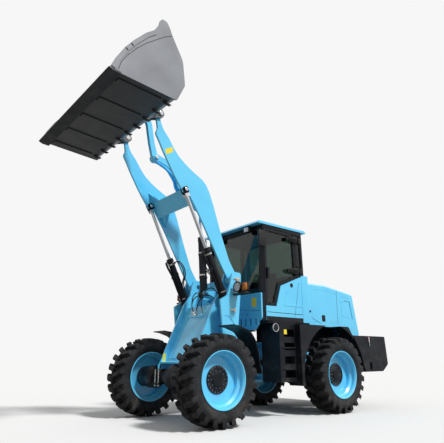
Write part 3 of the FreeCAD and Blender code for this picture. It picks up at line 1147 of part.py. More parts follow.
def makeMirrorsAndLamps():
    lamps = []
    for side, word in ((1, "left"), (-1, "right")):
        y = side * 420
        lamps.append(fuse("roof_lamp_" + word, [
            block(f"roof_lamp_{word}_case", (-60, y - 60, 2850), (20, y + 60, 2945)),
            block(f"roof_lamp_{word}_stem", (-75, y - 12, 2900), (-20, y + 12, size.roofBottom - size.flushGap))]))
    mirrors = []
    for side in (-1, 1):
        word = "left" if side > 0 else "right"
        low, high = sorted((side * (size.bodyHalf + 25), side * (size.bodyHalf + 50)))
        plate = block("mirror_plate_" + word, (-95, low, 2550), (60, high, 2830))
        stemLow, stemHigh = sorted((side * (size.bodyHalf + size.flushGap), side * (size.bodyHalf + 30)))
        mirrors.append(fuse("mirror_" + word, [plate, block("mirror_stem_" + word, (-110, stemLow, 2700), (-88, stemHigh, 2720))]))
    node(group("cab_fittings", lamps + mirrors), "cab_fittings")


makeWheels()
makeAxle("front_axle", size.frontAxleX, -1, size.tyreRadius + size.axleTube + 25)
makeAxle("rear_axle", size.rearAxleX, 1, size.railBottom)
makeFrontFrame()
makeFrontPins()
makeFrontFenders()
makeHeadlamps()
makeArms()
makeCrossMember()
makeBellcrank()
makeLink()
makeBucket()
makeBucketBrackets()
makeCylinders()
makeSteering()
makeRearFrame()
makeEngine()
makeCounterweight()
makeRearFenders()
makeSteps()
makeDeck()
makeCab()
makeCabGlass()
makeDoor()
makeCabInside()
makeCabSkirts()
makeHood()
makeMirrorsAndLamps()

doc.recompute()
for item in doc.Objects:
    if "Invalid" in item.State or "Error" in item.State:
        raise RuntimeError(f"{item.Label} did not build: {item.State}")
os.makedirs("parts", exist_ok=True)
for piece in nodes:
    if piece.Shape.isNull() or not piece.Shape.isValid():
        raise RuntimeError(f"{piece.Label} has no valid shape")
    piece.Shape.exportStep(f"parts/{piece.Label}.step")
print(len(nodes), "nodes written")
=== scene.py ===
import math

import bmesh
import bpy
from mathutils import Matrix, Vector


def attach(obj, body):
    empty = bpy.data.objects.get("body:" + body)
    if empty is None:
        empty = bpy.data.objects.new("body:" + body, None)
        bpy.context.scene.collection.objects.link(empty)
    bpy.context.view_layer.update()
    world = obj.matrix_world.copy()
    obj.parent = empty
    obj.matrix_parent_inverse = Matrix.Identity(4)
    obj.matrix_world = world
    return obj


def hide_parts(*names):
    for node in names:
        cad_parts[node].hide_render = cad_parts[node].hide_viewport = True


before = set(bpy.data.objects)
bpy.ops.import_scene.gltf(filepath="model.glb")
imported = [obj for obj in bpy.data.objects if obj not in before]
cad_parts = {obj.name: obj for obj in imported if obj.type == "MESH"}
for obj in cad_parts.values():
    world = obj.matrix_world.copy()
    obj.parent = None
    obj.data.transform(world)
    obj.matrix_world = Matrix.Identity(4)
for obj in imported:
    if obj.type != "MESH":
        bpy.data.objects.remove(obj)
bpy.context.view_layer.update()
scene = bpy.context.scene
print("frame loaded")


# camera, floor and light, as the photograph looks at the machine

view = {"place": (4.935, 5.721, 0.852), "yaw": -129.707, "pitch": 16.892, "roll": -0.396,
        "focal": 449.676, "width": 444, "sensor": 36, "farthest": 500}
studio = {"sky": 0.42, "backdrop": 0.93, "sun": 3.1, "sunFrom": (-2.0, 8.0, 9.5), "sunSpread": 9,
          "floor": (0.80, 0.80, 0.79), "floorBounce": (0.30, 0.30, 0.29), "floorReach": 90}


def placeCamera(view):
    yaw, pitch, roll = (math.radians(view[word]) for word in ("yaw", "pitch", "roll"))
    ahead = Vector((math.cos(yaw) * math.cos(pitch), math.sin(yaw) * math.cos(pitch), math.sin(pitch)))
    right = Vector((math.sin(yaw), -math.cos(yaw), 0))
    up = right.cross(ahead)
    rolledRight = math.cos(roll) * right + math.sin(roll) * up
    rolledUp = math.cos(roll) * up - math.sin(roll) * right
    lens = bpy.data.cameras.new("camera")
    lens.sensor_width = view["sensor"]
    lens.lens = view["focal"] / view["width"] * view["sensor"]
    lens.clip_end = view["farthest"]
    camera = bpy.data.objects.new("camera", lens)
    scene.collection.objects.link(camera)
    turn = Matrix((rolledRight, rolledUp, -ahead)).transposed().to_4x4()
    camera.matrix_world = Matrix.Translation(view["place"]) @ turn
    scene.camera = camera


def wire(tree, node, inputs):
    # each input becomes a plain value or is joined to another node's output
    for socket, value in inputs.items():
        if isinstance(value, bpy.types.NodeSocket):
            tree.links.new(value, node.inputs[socket])
        else:
            node.inputs[socket].default_value = value
    return node


def addNode(tree, kind, inputs, operation=None):
    node = tree.nodes.new("ShaderNode" + kind)
    if operation:
        node.operation = operation
    return wire(tree, node, inputs)


def makeWorld(studio):
    world = bpy.data.worlds.new("studio")
    scene.world = world
    world.use_nodes = True
    tree = world.node_tree
    tree.nodes.clear()
    rays = addNode(tree, "LightPath", {}).outputs
    glossy = addNode(tree, "Math", {0: rays["Is Camera Ray"], 1: rays["Is Glossy Ray"]}, "MAXIMUM")
    seen = addNode(tree, "Math", {0: glossy.outputs[0], 1: rays["Is Transmission Ray"]}, "MAXIMUM")
    light = addNode(tree, "Background", {"Color": (1, 1, 1, 1), "Strength": studio["sky"]})
    plain = addNode(tree, "Background", {"Color": (1, 1, 1, 1), "Strength": studio["backdrop"]})
    either = addNode(tree, "MixShader", {0: seen.outputs[0], 1: light.outputs[0], 2: plain.outputs[0]})
    addNode(tree, "OutputWorld", {"Surface": either.outputs[0]})


def makeSun(studio):
    lamp = bpy.data.lights.new("softKey", "SUN")
    lamp.energy = studio["sun"]
    lamp.angle = math.radians(studio["sunSpread"])
    sun = bpy.data.objects.new("softKey", lamp)
    scene.collection.objects.link(sun)
    sun.rotation_euler = Vector(studio["sunFrom"]).to_track_quat("Z", "Y").to_euler()


def makeFloor(studio):
    mesh = bpy.data.meshes.new("floor")
    floor = bpy.data.objects.new("floor", mesh)
    scene.collection.objects.link(floor)
    bm = bmesh.new()
    bmesh.ops.create_grid(bm, x_segments=1, y_segments=1, size=studio["floorReach"])
    bm.to_mesh(mesh)
    bm.free()
    finish = bpy.data.materials.new("paleFloor")
    finish.use_nodes = True
    tree = finish.node_tree
    tree.nodes.clear()
    rays = addNode(tree, "LightPath", {}).outputs
    bounce = addNode(tree, "BsdfDiffuse", {"Color": (*studio["floorBounce"], 1)}).outputs[0]
    seen = addNode(tree, "BsdfDiffuse", {"Color": (*studio["floor"], 1)}).outputs[0]
    either = addNode(tree, "MixShader", {0: rays["Is Camera Ray"], 1: bounce, 2: seen})
    addNode(tree, "OutputMaterial", {"Surface": either.outputs[0]})
    mesh.materials.append(finish)


placeCamera(view)
scene.view_settings.view_transform = "Standard"
makeWorld(studio)
makeSun(studio)
makeFloor(studio)
print("camera and studio ready")


# finishes

def sRgb(*colour):
    # a colour written as the eye sees it, 0 to 255, in linear light
    return tuple((c / 255 / 12.92) if c <= 10 else ((c / 255 + 0.055) / 1.055) ** 2.4 for c in colour)


# pale and deep: the ends of the colour's slow drift; rough: low and high; grain: scale, strength, depth in
# metres; the darker zone: a plane's normal and offset, and the half width within which what lies beyond it is
# darker, in its own colour: painted shade on the bucket floor's underside, and the darker eye ends of the rods
chrome = {"pale": sRgb(226, 228, 232), "deep": sRgb(204, 207, 213), "drift": 9.0, "rough": (0.07, 0.16),
          "metal": 1.0, "grain": (700, 0.05, 0.0002)}
rodEnd = {**chrome, "darkZoneColour": sRgb(40, 42, 46)}
mark = {"drift": 30.0, "rough": (0.35, 0.50), "grain": (300, 0.05, 0.0002)}
looks = {
    "azurePaint": {"pale": sRgb(106, 213, 253), "deep": sRgb(96, 205, 250), "drift": 1.4,
                   "rough": (0.24, 0.36), "coat": 0.35, "grain": (260, 0.10, 0.0006),
                   "dust": sRgb(150, 146, 138), "dustTop": 1.25, "dustMost": 0.30},
    "blackPaint": {"pale": sRgb(22, 26, 34), "deep": sRgb(14, 17, 23), "drift": 2.6, "rough": (0.38, 0.55),
                   "spec": 0.22, "grain": (420, 0.22, 0.0006),
                   "dust": sRgb(122, 118, 110), "dustTop": 1.3, "dustMost": 0.30},
    # bucket floor: painted shade, darker below a plane on the underside of the floor
    "bucketFloor": {"pale": sRgb(128, 131, 138), "deep": sRgb(108, 111, 118), "drift": 1.3,
                    "rough": (0.36, 0.50), "coat": 0.15, "grain": (300, 0.20, 0.0006),
                    "darkZone": ((0.06802, 0, -0.99768), -4.0401, 1.239), "darkZoneColour": sRgb(44, 45, 48)},
    "bucketDark": {"pale": sRgb(50, 51, 54), "deep": sRgb(40, 41, 44), "drift": 2.2, "rough": (0.40, 0.60),
                   "spec": 0.25, "grain": (300, 0.25, 0.0008), "scratch": 0.16},
    "tyreRubber": {"pale": sRgb(42, 43, 46), "deep": sRgb(27, 28, 30), "drift": 7.0, "rough": (0.62, 0.85),
                   "spec": 0.25, "grain": (520, 0.35, 0.0010),
                   "dust": sRgb(118, 112, 102), "dustTop": 0.75, "dustMost": 0.22},
    "castSteel": {"pale": sRgb(106, 108, 112), "deep": sRgb(76, 78, 83), "drift": 6.0, "rough": (0.40, 0.62),
                  "metal": 0.55, "grain": (180, 0.45, 0.0015)},
    "zincPlate": {"pale": sRgb(206, 204, 196), "deep": sRgb(172, 172, 168), "drift": 14.0,
                  "rough": (0.22, 0.40), "metal": 1.0, "grain": (300, 0.12, 0.0004)},
    "chromeRod": chrome,
    # lift and tilt rods: their eye ends are darker, beyond a plane across each rod
    "liftChrome": {**rodEnd, "darkZone": ((0.44494, 0, 0.89556), 3.4640, 9.0)},
    "tiltChrome": {**rodEnd, "darkZone": ((0.05568, 0, 0.99845), 3.3570, 9.0)},
    "mouldedBlack": {"pale": sRgb(26, 27, 30), "deep": sRgb(16, 17, 19), "drift": 8.0, "rough": (0.45, 0.62),
                     "spec": 0.30, "grain": (900, 0.35, 0.0005)},
    "hoseRubber": {"pale": sRgb(34, 35, 37), "deep": sRgb(20, 21, 23), "drift": 12.0, "rough": (0.42, 0.60),
                   "grain": (800, 0.30, 0.0005)},
    "seatVinyl": {"pale": sRgb(52, 52, 56), "deep": sRgb(36, 36, 40), "drift": 5.0, "rough": (0.55, 0.72),
                  "grain": (380, 0.40, 0.0010)},
    "orangeMark": {**mark, "pale": sRgb(240, 110, 30), "deep": sRgb(226, 96, 22)},
    "redMark": {**mark, "pale": sRgb(206, 44, 40), "deep": sRgb(190, 34, 32)},
    "lampBright": {"pale": sRgb(232, 236, 240), "deep": sRgb(206, 212, 220), "drift": 40.0,
                   "rough": (0.10, 0.20), "coat": 0.5, "grain": (600, 0.05, 0.0002)},
    "yellowSticker": {**mark, "pale": sRgb(252, 228, 56), "deep": sRgb(246, 218, 46), "rough": (0.30, 0.42)},
}
wear = {"driftSpan": (0.36, 0.64), "driftDetail": 5, "dustFoot": 0.1, "dustLeast": 0.04, "patch": (6.5, 8),
        "patchSpan": (0.42, 0.72), "scratch": (5, 6, (1, 26, 3)), "scratchSpan": (0.60, 0.66),
        "scratchColour": (0.10, 0.10, 0.11), "glossScale": 3, "glossDetail": 4, "glossSpan": (0.3, 0.7),
        "coatRough": 0.08, "grainDetail": 3, "darkZoneBlur": 0.003, "sideBlur": 0.001}
glasses = {"cabGlass": ((0.12, 0.19, 0.16), 0.01, 1.0), "clearLens": ((0.86, 0.88, 0.90), 0.06, 0.7),
           "amberLens": ((0.95, 0.32, 0.03), 0.08, 0.6)}
smear = {"scale": 4, "detail": 5, "span": (0.35, 0.75), "rougher": 0.05, "ior": 1.45}
finishes = {}


def makeFinish(name, look):
    # colour drift, dust that thins out upwards, scratches, uneven gloss and fine grain, on Object coordinates
    finish = bpy.data.materials.new(name)
    finish.use_nodes = True
    tree = finish.node_tree
    place = addNode(tree, "TexCoord", {}).outputs["Object"]

    def cloud(scale, detail, stretch=(1, 1, 1)):
        mapped = addNode(tree, "Mapping", {"Scale": stretch, "Vector": place}).outputs[0]
        return addNode(tree, "TexNoise", {"Scale": scale, "Detail": detail, "Vector": mapped}).outputs["Fac"]

    def between(value, low, high, toLow, toHigh):
        span = addNode(tree, "MapRange", {"Value": value, "From Min": low, "From Max": high,
                                          "To Min": toLow, "To Max": toHigh})
        span.interpolation_type = "SMOOTHSTEP"
        return span.outputs["Result"]

    def layer(under, colour, first, second=1):
        amount = addNode(tree, "Math", {0: first, 1: second}, "MULTIPLY").outputs[0]
        mix = tree.nodes.new("ShaderNodeMix")
        mix.data_type = "RGBA"
        return wire(tree, mix, {0: amount, 6: under, 7: (*colour, 1)}).outputs[2]

    ramp = addNode(tree, "ValToRGB", {0: cloud(look["drift"], wear["driftDetail"])})
    for index, word in enumerate(("deep", "pale")):
        ramp.color_ramp.elements[index].position = wear["driftSpan"][index]
        ramp.color_ramp.elements[index].color = (*look[word], 1)
    colour = ramp.outputs[0]
    if "dust" in look:
        height = addNode(tree, "SeparateXYZ", {0: place}).outputs["Z"]
        low = between(height, wear["dustFoot"], look["dustTop"], 1, wear["dustLeast"])
        patch = between(cloud(*wear["patch"]), *wear["patchSpan"], 0, look["dustMost"])
        colour = layer(colour, look["dust"], low, patch)
    # the darker zone, beyond a plane and within a half width: painted shade on the bucket floor's underside,
    # and the darker eye ends of the lift and tilt rods
    if "darkZone" in look:
        normal, offset, half = look["darkZone"]
        beyond = addNode(tree, "VectorMath", {0: place, 1: normal}, "DOT_PRODUCT").outputs["Value"]
        out = addNode(tree, "SeparateXYZ", {0: place}).outputs["Y"]
        out = addNode(tree, "Math", {0: out}, "ABSOLUTE").outputs[0]
        under = between(beyond, offset - wear["darkZoneBlur"], offset, 0, 1)
        colour = layer(colour, look["darkZoneColour"], under, between(out, half - wear["sideBlur"], half, 1, 0))
    if "scratch" in look:
        lines = between(cloud(*wear["scratch"]), *wear["scratchSpan"], 0, look["scratch"])
        colour = layer(colour, wear["scratchColour"], lines)
    gloss = cloud(look["drift"] * wear["glossScale"], wear["glossDetail"])
    scale, strength, depth = look["grain"]
    grain = {"Strength": strength, "Distance": depth, "Height": cloud(scale, wear["grainDetail"])}
    wire(tree, tree.nodes["Principled BSDF"], {
        "Base Color": colour, "Roughness": between(gloss, *wear["glossSpan"], *look["rough"]),
        "Specular IOR Level": look.get("spec", 0.5), "Metallic": look.get("metal", 0),
        "Coat Weight": look.get("coat", 0), "Coat Roughness": wear["coatRough"],
        "Normal": addNode(tree, "Bump", grain).outputs[0]})
    finishes[name] = finish


def makeGlass(name, tint, rough, through):
    finish = bpy.data.materials.new(name)
    finish.use_nodes = True
    tree = finish.node_tree
    place = addNode(tree, "TexCoord", {}).outputs["Object"]
    noise = addNode(tree, "TexNoise", {"Scale": smear["scale"], "Detail": smear["detail"], "Vector": place})
    low, high = smear["span"]
    span = addNode(tree, "MapRange", {"Value": noise.outputs["Fac"], "From Min": low, "From Max": high,
                                      "To Min": rough, "To Max": rough + smear["rougher"]})
    wire(tree, tree.nodes["Principled BSDF"], {
        "Base Color": (*tint, 1), "Roughness": span.outputs["Result"], "Transmission Weight": through,
        "IOR": smear["ior"]})
    finishes[name] = finish


for name, look in looks.items():
    makeFinish(name, look)
for name, glass in glasses.items():
    makeGlass(name, *glass)

nodeFinish = {
    "azurePaint": ("rear_frame", "cab_skirts", "rear_shroud", "cab_roof", "front_frame", "arm_left",
                   "arm_right", "cross_member", "bellcrank", "bucket_link", "hood", "rim_front_left",
                   "rim_front_right", "rim_rear_left", "rim_rear_right"),
    "blackPaint": ("rear_axle", "engine", "counterweight", "rear_fenders", "step_boxes", "deck_plate",
                   "cab_frame", "front_axle", "front_fenders", "door_frame", "tilt_barrel", "lift_left_barrel",
                   "lift_right_barrel", "steer_left_barrel", "steer_right_barrel", "hub_front_left",
                   "hub_front_right", "hub_rear_left", "hub_rear_right"),
    "bucketFloor": ("bucket_shell",),
    "bucketDark": ("cutting_edge",),
    "castSteel": ("bucket_brackets",),
    "zincPlate": ("rear_pins", "front_pins", "bucket_pins", "bellcrank_pin", "link_pin"),
    "chromeRod": ("steer_left_rod", "steer_right_rod"),
    "liftChrome": ("lift_left_rod", "lift_right_rod"),
    "tiltChrome": ("tilt_rod",),
    "mouldedBlack": ("door_hinges", "seat_base", "steering_wheel", "cab_fittings", "headlamp_housings"),
    "seatVinyl": ("seat_cushion",),
    "tyreRubber": ("tyre_front_left", "tyre_front_right", "tyre_rear_left", "tyre_rear_right"),
    "cabGlass": ("cab_glass", "door_glass"),
    "clearLens": ("front_lenses",),
}
for name, members in nodeFinish.items():
    for member in members:
        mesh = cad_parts[member].data
        mesh.materials.clear()
        mesh.materials.append(finishes[name])
print("finishes on the frame's pieces")


# shaping helpers

def finishPiece(name, bm, finish, body, smooth=35, replaced=()):
    # makes the object from its bmesh, with normals outward, and lets it ride on its body
    bmesh.ops.recalc_face_normals(bm, faces=bm.faces)
    mesh = bpy.data.meshes.new(name)
    bm.to_mesh(mesh)
    bm.free()
    piece = bpy.data.objects.new(name, mesh)
    scene.collection.objects.link(piece)
    mesh.materials.append(finishes[finish])
    mesh.shade_smooth()
    mesh.set_sharp_from_angle(angle=math.radians(smooth))
    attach(piece, body)
    if replaced:
        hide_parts(*replaced)
    return piece


def turned(bm, outline, centre, axis, steps, side=None):
    # spins a closed outline of (along, radius) points about the axis through centre
    centre, axis = Vector(centre), Vector(axis)
    side = Vector(side) if side else axis.orthogonal().normalized()
    verts = [bm.verts.new(centre + axis * along + side * radius) for along, radius in outline]
    edges = [bm.edges.new((verts[i - 1], verts[i])) for i in range(len(verts))]
    bmesh.ops.spin(bm, geom=verts + edges, cent=centre, axis=axis, angle=math.tau, steps=steps,
                   use_merge=True)


def bevelEdges(bm, edges, width, segments=2):
    bmesh.ops.bevel(bm, geom=edges, offset=width, offset_type="OFFSET", segments=segments, profile=0.5,
                    affect="EDGES", material=-1)


def soften(bm, verts, width):
    # rounds the sharp edges of what was just made
    edges = {edge for vert in verts for edge in vert.link_edges}
    sharp = [edge for edge in edges if edge.is_manifold and edge.calc_face_angle() > 0.5]
    bevelEdges(bm, sharp, width)


def rounded(points, steps=4):
    # an outline of (u, v) or (u, v, corner radius) points, its corners as short runs of an arc
    outline = []
    for index, point in enumerate(points):
        here = Vector(point[:2])
        radius = point[2] if len(point) > 2 else 0
        if not radius:
            outline.append(here)
            continue
        before = Vector(points[index - 1][:2]) - here
        after = Vector(points[(index + 1) % len(points)][:2]) - here
        half = before.angle(after) / 2
        reach = min(radius / math.tan(half), 0.49 * before.length, 0.49 * after.length)
        radius = reach * math.tan(half)
        before, after = before.normalized(), after.normalized()
        centre = here + (before + after).normalized() * (radius / math.sin(half))
        first, last = here + before * reach - centre, here + after * reach - centre
        begin = math.atan2(first.y, first.x)
        sweep = (math.atan2(last.y, last.x) - begin + math.pi) % math.tau - math.pi
        for step in range(steps + 1):
            turn = begin + sweep * step / steps
            outline.append(centre + Vector((math.cos(turn), math.sin(turn))) * radius)
    return outline


def oblong(left, right, low, high, foot=0, top=0):
    # four corners with a radius for the lower two and one for the upper two
    return (left, low, foot), (right, low, foot), (right, high, top), (left, high, top)


planes = {"XZ": lambda u, v, w: Vector((u, w, v)), "YZ": lambda u, v, w: Vector((w, u, v))}


def slab(bm, points, plane, low, high, edge=0):
    # an outline on one of the planes, pulled from low to high
    place = planes[plane]
    verts = [bm.verts.new(place(u, v, low)) for u, v in rounded(points)]
    made = bmesh.ops.extrude_face_region(bm, geom=[bm.faces.new(verts)])
    moved = [item for item in made["geom"] if isinstance(item, bmesh.types.BMVert)]
    bmesh.ops.translate(bm, verts=moved, vec=place(0, 0, high - low))
    if edge:
        soften(bm, verts + moved, edge)


def box(bm, low, high, edge=0):
    low, high = Vector(low), Vector(high)
    place = Matrix.Translation((high + low) / 2) @ Matrix.Diagonal((*(high - low), 1))
    made = bmesh.ops.create_cube(bm, size=1, matrix=place)
    if edge:
        soften(bm, made["verts"], edge)


def rod(bm, start, end, radius, steps=24, edge=0):
    start, end = Vector(start), Vector(end)
    turn = (end - start).to_track_quat("Z", "Y").to_matrix().to_4x4()
    place = Matrix.Translation((start + end) / 2) @ turn
    made = bmesh.ops.create_cone(bm, cap_ends=True, segments=steps, radius1=radius, radius2=radius,
                                 depth=(end - start).length, matrix=place)
    if edge:
        soften(bm, made["verts"], edge)


def strip(bm, points, plane, level, width, thick):
    # a thin line of short bars along a path of (u, v) points, standing thick proud of level
    for first, second in zip(points, points[1:]):
        first, second = Vector(first), Vector(second)
        along = (second - first).normalized() * width / 2
        across = Vector((-along.y, along.x))
        first, second = first - along, second + along
        corners = [first + across, second + across, second - across, first - across]
        slab(bm, corners, plane, level, level + thick)


def tube(bm, start, end, inner, outer):
    # a plain ring or sleeve between two radii
    reach = Vector(end) - Vector(start)
    outline = (0, inner), (0, outer), (reach.length, outer), (reach.length, inner)
    turned(bm, outline, start, reach.normalized(), 36)


def addShapes(bm, shapes, sides=(-1, 1)):
    # what the machine has on both sides, or on one: y counts outwards from its middle
    for side in sides:
        for low, high, edge in shapes.get("boxes", ()):
            near, far = sorted((side * low[1], side * high[1]))
            box(bm, (low[0], near, low[2]), (high[0], far, high[2]), edge)
        for start, end, *rest in shapes.get("rods", ()):
            rod(bm, (start[0], side * start[1], start[2]), (end[0], side * end[1], end[2]), *rest)
        for points, near, far, *edge in shapes.get("slabs", ()):
            slab(bm, points, "XZ", side * near, side * far, *edge)
        for points, level, width, thick in shapes.get("strips", ()):
            strip(bm, points, "XZ", side * level, width, side * thick)


def shapedPiece(name, finish, body, shapes, sides=(-1, 1), replaced=()):
    bm = bmesh.new()
    addShapes(bm, shapes, sides)
    finishPiece(name, bm, finish, body, replaced=replaced)


def hose(name, routes, radius, body):
    # round hoses along smooth routes of points
    curve = bpy.data.curves.new(name, "CURVE")
    curve.dimensions = "3D"
    curve.bevel_depth = radius
    curve.bevel_resolution = 4
    curve.resolution_u = 8
    curve.use_fill_caps = True
    for points in routes:
        spline = curve.splines.new("NURBS")
        spline.points.add(len(points) - 1)
        for held, point in zip(spline.points, points):
            held.co = (*point, 1)
        spline.order_u = 3
        spline.use_endpoint_u = True
    piece = bpy.data.objects.new(name, curve)
    scene.collection.objects.link(piece)
    curve.materials.append(finishes["hoseRubber"])
    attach(piece, body)


# tyres: the carcass is an outline of (y, radius), spun; each lug is a bar bent onto the crown

tyre = {"radius": 0.585, "crown": 0.524, "half": 0.203, "lugs": 22, "lugFoot": 0.470, "skew": 0.17,
        "lugCentre": 0.026, "lugShoulder": 0.036, "steps": 88, "gap": 0.010, "short": 0.012, "drop": 0.016,
        "tip": (0.97, 0.010), "sunk": 0.020, "shoulder": 0.80, "flare": 0.006, "wave": 0.16,
        "side": ((0.150, 0.3505), (0.162, 0.352), (0.172, 0.366), (0.176, 0.384), (0.186, 0.404),
                 (0.188, 0.412), (0.1925, 0.414), (0.195, 0.424), (0.199, 0.440), (0.2015, 0.458),
                 (0.2005, 0.462), (0.199, 0.470), (0.196, 0.488), (0.186, 0.506), (0.160, 0.518),
                 (0.110, 0.523), (0.05, 0.5245)), "top": (0.0, 0.525),
        "inner": ((-0.120, 0.362), (-0.150, 0.420), (-0.140, 0.480), (0.0, 0.495), (0.140, 0.480),
                  (0.150, 0.420), (0.120, 0.362))}
wheelPlaces = {"front_left": (1.05, 0.89, 1), "front_right": (1.05, -0.89, -1),
               "rear_left": (-1.44, 0.89, 1), "rear_right": (-1.44, -0.89, -1)}


def carcassOutline():
    mirrored = [(-y, radius) for y, radius in reversed(tyre["side"])]
    return [*tyre["side"], tyre["top"], *mirrored, *tyre["inner"]]


def lugShape():
    # one bar of the tread as a straight block: a cube, cut along its length, with its top edges rounded
    bm = bmesh.new()
    bmesh.ops.create_cube(bm, size=2)
    long = [edge for edge in bm.edges if abs((edge.verts[0].co - edge.verts[1].co).x) > 1]
    bmesh.ops.subdivide_edges(bm, edges=long, cuts=7, use_grid_fill=True)
    rim = [edge for edge in bm.edges if min(vert.co.z for vert in edge.verts) > 0.9
           and any(face.normal.z < 0.5 for face in edge.link_faces)]
    bevelEdges(bm, rim, 0.16)
    mesh = bpy.data.meshes.new("lug")
    bm.to_mesh(mesh)
    bm.free()
    return mesh


def addLug(bm, shape, hub, side, start):
    # bends a copy of the bar onto the crown and down over the shoulder
    before = len(bm.verts)
    bm.from_mesh(shape)
    bm.verts.ensure_lookup_table()
    base = tyre["crown"] - tyre["sunk"]
    tipFrom, tipDrop = tyre["tip"]
    for vert in bm.verts[before:]:
        along, low = (vert.co.x + 1) / 2, (1 - vert.co.z) / 2
        reach = tyre["gap"] + (tyre["half"] - tyre["short"]) * along
        crown = tyre["radius"] - tyre["drop"] * along ** 3 - (tipDrop if along > tipFrom else 0)
        past = max(0, (along - tyre["shoulder"]) / (1 - tyre["shoulder"]))
        foot = base - (base - tyre["lugFoot"]) * past ** 1.5
        radius = foot + (crown - foot) * (vert.co.z + 1) / 2
        half = tyre["lugCentre"] + (tyre["lugShoulder"] - tyre["lugCentre"]) * along + tyre["flare"] * low
        bend = tyre["skew"] * (along + tyre["wave"] * math.sin(math.tau * along))
        turn = start + bend + vert.co.y * half / tyre["radius"]
        vert.co = hub + Vector((radius * math.cos(turn), side * reach, radius * math.sin(turn)))


lug = lugShape()


def makeTyre(place):
    x, y, side = wheelPlaces[place]
    hub = Vector((x, y, tyre["radius"]))
    bm = bmesh.new()
    turned(bm, carcassOutline(), hub, (0, 1, 0), tyre["steps"], (1, 0, 0))
    pitch = math.tau / tyre["lugs"]
    for half, first in ((-1, 0.5), (1, 1)):
        for count in range(tyre["lugs"]):
            addLug(bm, lug, hub, half, pitch * (count + first))
    finishPiece("tread_" + place, bm, "tyreRubber", "wheel_" + place, 40, ("tyre_" + place,))


for place in wheelPlaces:
    makeTyre(place)
print("tyres made")


# wheel bolts and valves; a ring of bolts is its radius, their number and the size of their heads

bolts = {"rings": ((0.158, 20, 0.0100), (0.108, 10, 0.0090)), "face": 0.042, "tall": 0.013, "edge": 0.0020,
         "valve": (0.255, 0.030), "stem": (0.012, 0.045, 0.006)}


def makeWheelBolts(place):
    x, y, side = wheelPlaces[place]
    face, middle = y + side * bolts["face"], tyre["radius"]
    bm = bmesh.new()
    for radius, count, head in bolts["rings"]:
        for index in range(count):
            turn = math.tau * index / count
            spot = Vector((x + radius * math.cos(turn), face, middle + radius * math.sin(turn)))
            rod(bm, spot, spot + Vector((0, side * bolts["tall"], 0)), head, 6, bolts["edge"])
    finishPiece("wheel_bolts_" + place, bm, "castSteel", "wheel_" + place)
    bm = bmesh.new()
    off, out = bolts["valve"]
    lean, long, radius = bolts["stem"]
    spot = Vector((x + off, y + side * out, middle))
    rod(bm, spot, spot + Vector((lean, side * long, 0)), radius, 16)
    finishPiece("valve_" + place, bm, "zincPlate", "wheel_" + place)


for place in wheelPlaces:
    makeWheelBolts(place)


# axle fixings: four studs with nuts through a plate on each side of both axles

studs = {"axles": ((1.05, "front_frame", 0.700), (-1.44, "rear_frame", 0.688)), "y": 0.36, "dx": 0.118,
         "dy": 0.045, "bottom": 0.455, "radius": 0.011, "nut": (0.008, 0.026, 0.019, 0.0015),
         "plate": (0.145, 0.072, 0.028, 0.048, 0.003)}


def makeAxleStuds():
    foot, head, nutRadius, nutEdge = studs["nut"]
    halfX, halfY, plateFoot, plateTop, plateEdge = studs["plate"]
    bottom = studs["bottom"]
    for x, body, top in studs["axles"]:
        bm, plates = bmesh.new(), bmesh.new()
        for side in (-1, 1):
            y = side * studs["y"]
            for dx in (-studs["dx"], studs["dx"]):
                for dy in (-studs["dy"], studs["dy"]):
                    u, v = x + dx, y + dy
                    rod(bm, (u, v, bottom), (u, v, top), studs["radius"], 16)
                    rod(bm, (u, v, bottom + foot), (u, v, bottom + head), nutRadius, 6, nutEdge)
            box(plates, (x - halfX, y - halfY, bottom + plateFoot), (x + halfX, y + halfY, bottom + plateTop),
                plateEdge)
        finishPiece("axle_studs_" + body, bm, "zincPlate", body)
        finishPiece("axle_plates_" + body, plates, "blackPaint", body)


makeAxleStuds()
print("wheels and axles dressed")


# front frame: raised border and a blank label

nose = {"ribs": ((-0.330, 0.86, -0.245, 1.47), (0.330, 0.86, 0.245, 1.47), (-0.330, 0.86, 0.330, 0.86),
                 (-0.245, 1.47, 0.245, 1.47)), "rib": (0.004, 0.008), "foot": (1.028, 0.745),
        "lean": 0.478 / 1.015, "label": ((1.053, 0.925), (1.001, 0.925), (1.014, 0.793), (1.059, 0.793))}
noseLabel = {"slabs": ((nose["label"], 0.388, 0.3868),)}


def makeNose():
    # the sunk plate between the front frame's sides leans back as it goes up
    x, foot = nose["foot"]
    proud, radius = nose["rib"]
    bm = bmesh.new()
    for y, z, farY, farZ in nose["ribs"]:
        start, end = (x - nose["lean"] * (level - foot) + proud for level in (z, farZ))
        rod(bm, (start, y, z), (end, farY, farZ), radius, 10)
    finishPiece("nose_border", bm, "azurePaint", "front_frame")
    shapedPiece("nose_label", "yellowSticker", "front_frame", noseLabel, (-1,))


makeNose()


# headlamps, each a spun shell with a ring of bulbs, and turn lamps

lamp = {"x": 0.415, "y": 0.727, "z": 1.862, "deep": 0.090, "steps": 40, "glass": (0.070, 0.006, 0.003),
        "shell": ((0, 0.040), (0.025, 0.066), (0.060, 0.080), (0.092, 0.084), (0.100, 0.083), (0.102, 0.077),
                  (0.098, 0.072), (0.080, 0.070), (0.080, 0.001), (0, 0.001)),
        "bulbs": 6, "ring": 0.040, "bulb": (0.004, 0.0075, 0.017, 0.002),
        "mounts": {"boxes": (((0.407, 0.800, 1.802), (0.439, 0.893, 1.922), 0.008),
                             ((0.397, 0.6123, 1.752), (0.493, 0.890, 1.778), 0.006),
                             ((0.417, 0.700, 1.762), (0.473, 0.755, 1.802), 0.006),
                             ((0.419, 0.826, 1.762), (0.465, 0.866, 1.812), 0.006))},
        "turn": {"boxes": (((0.437, 0.803, 1.806), (0.489, 0.890, 1.918), 0.020),)}}


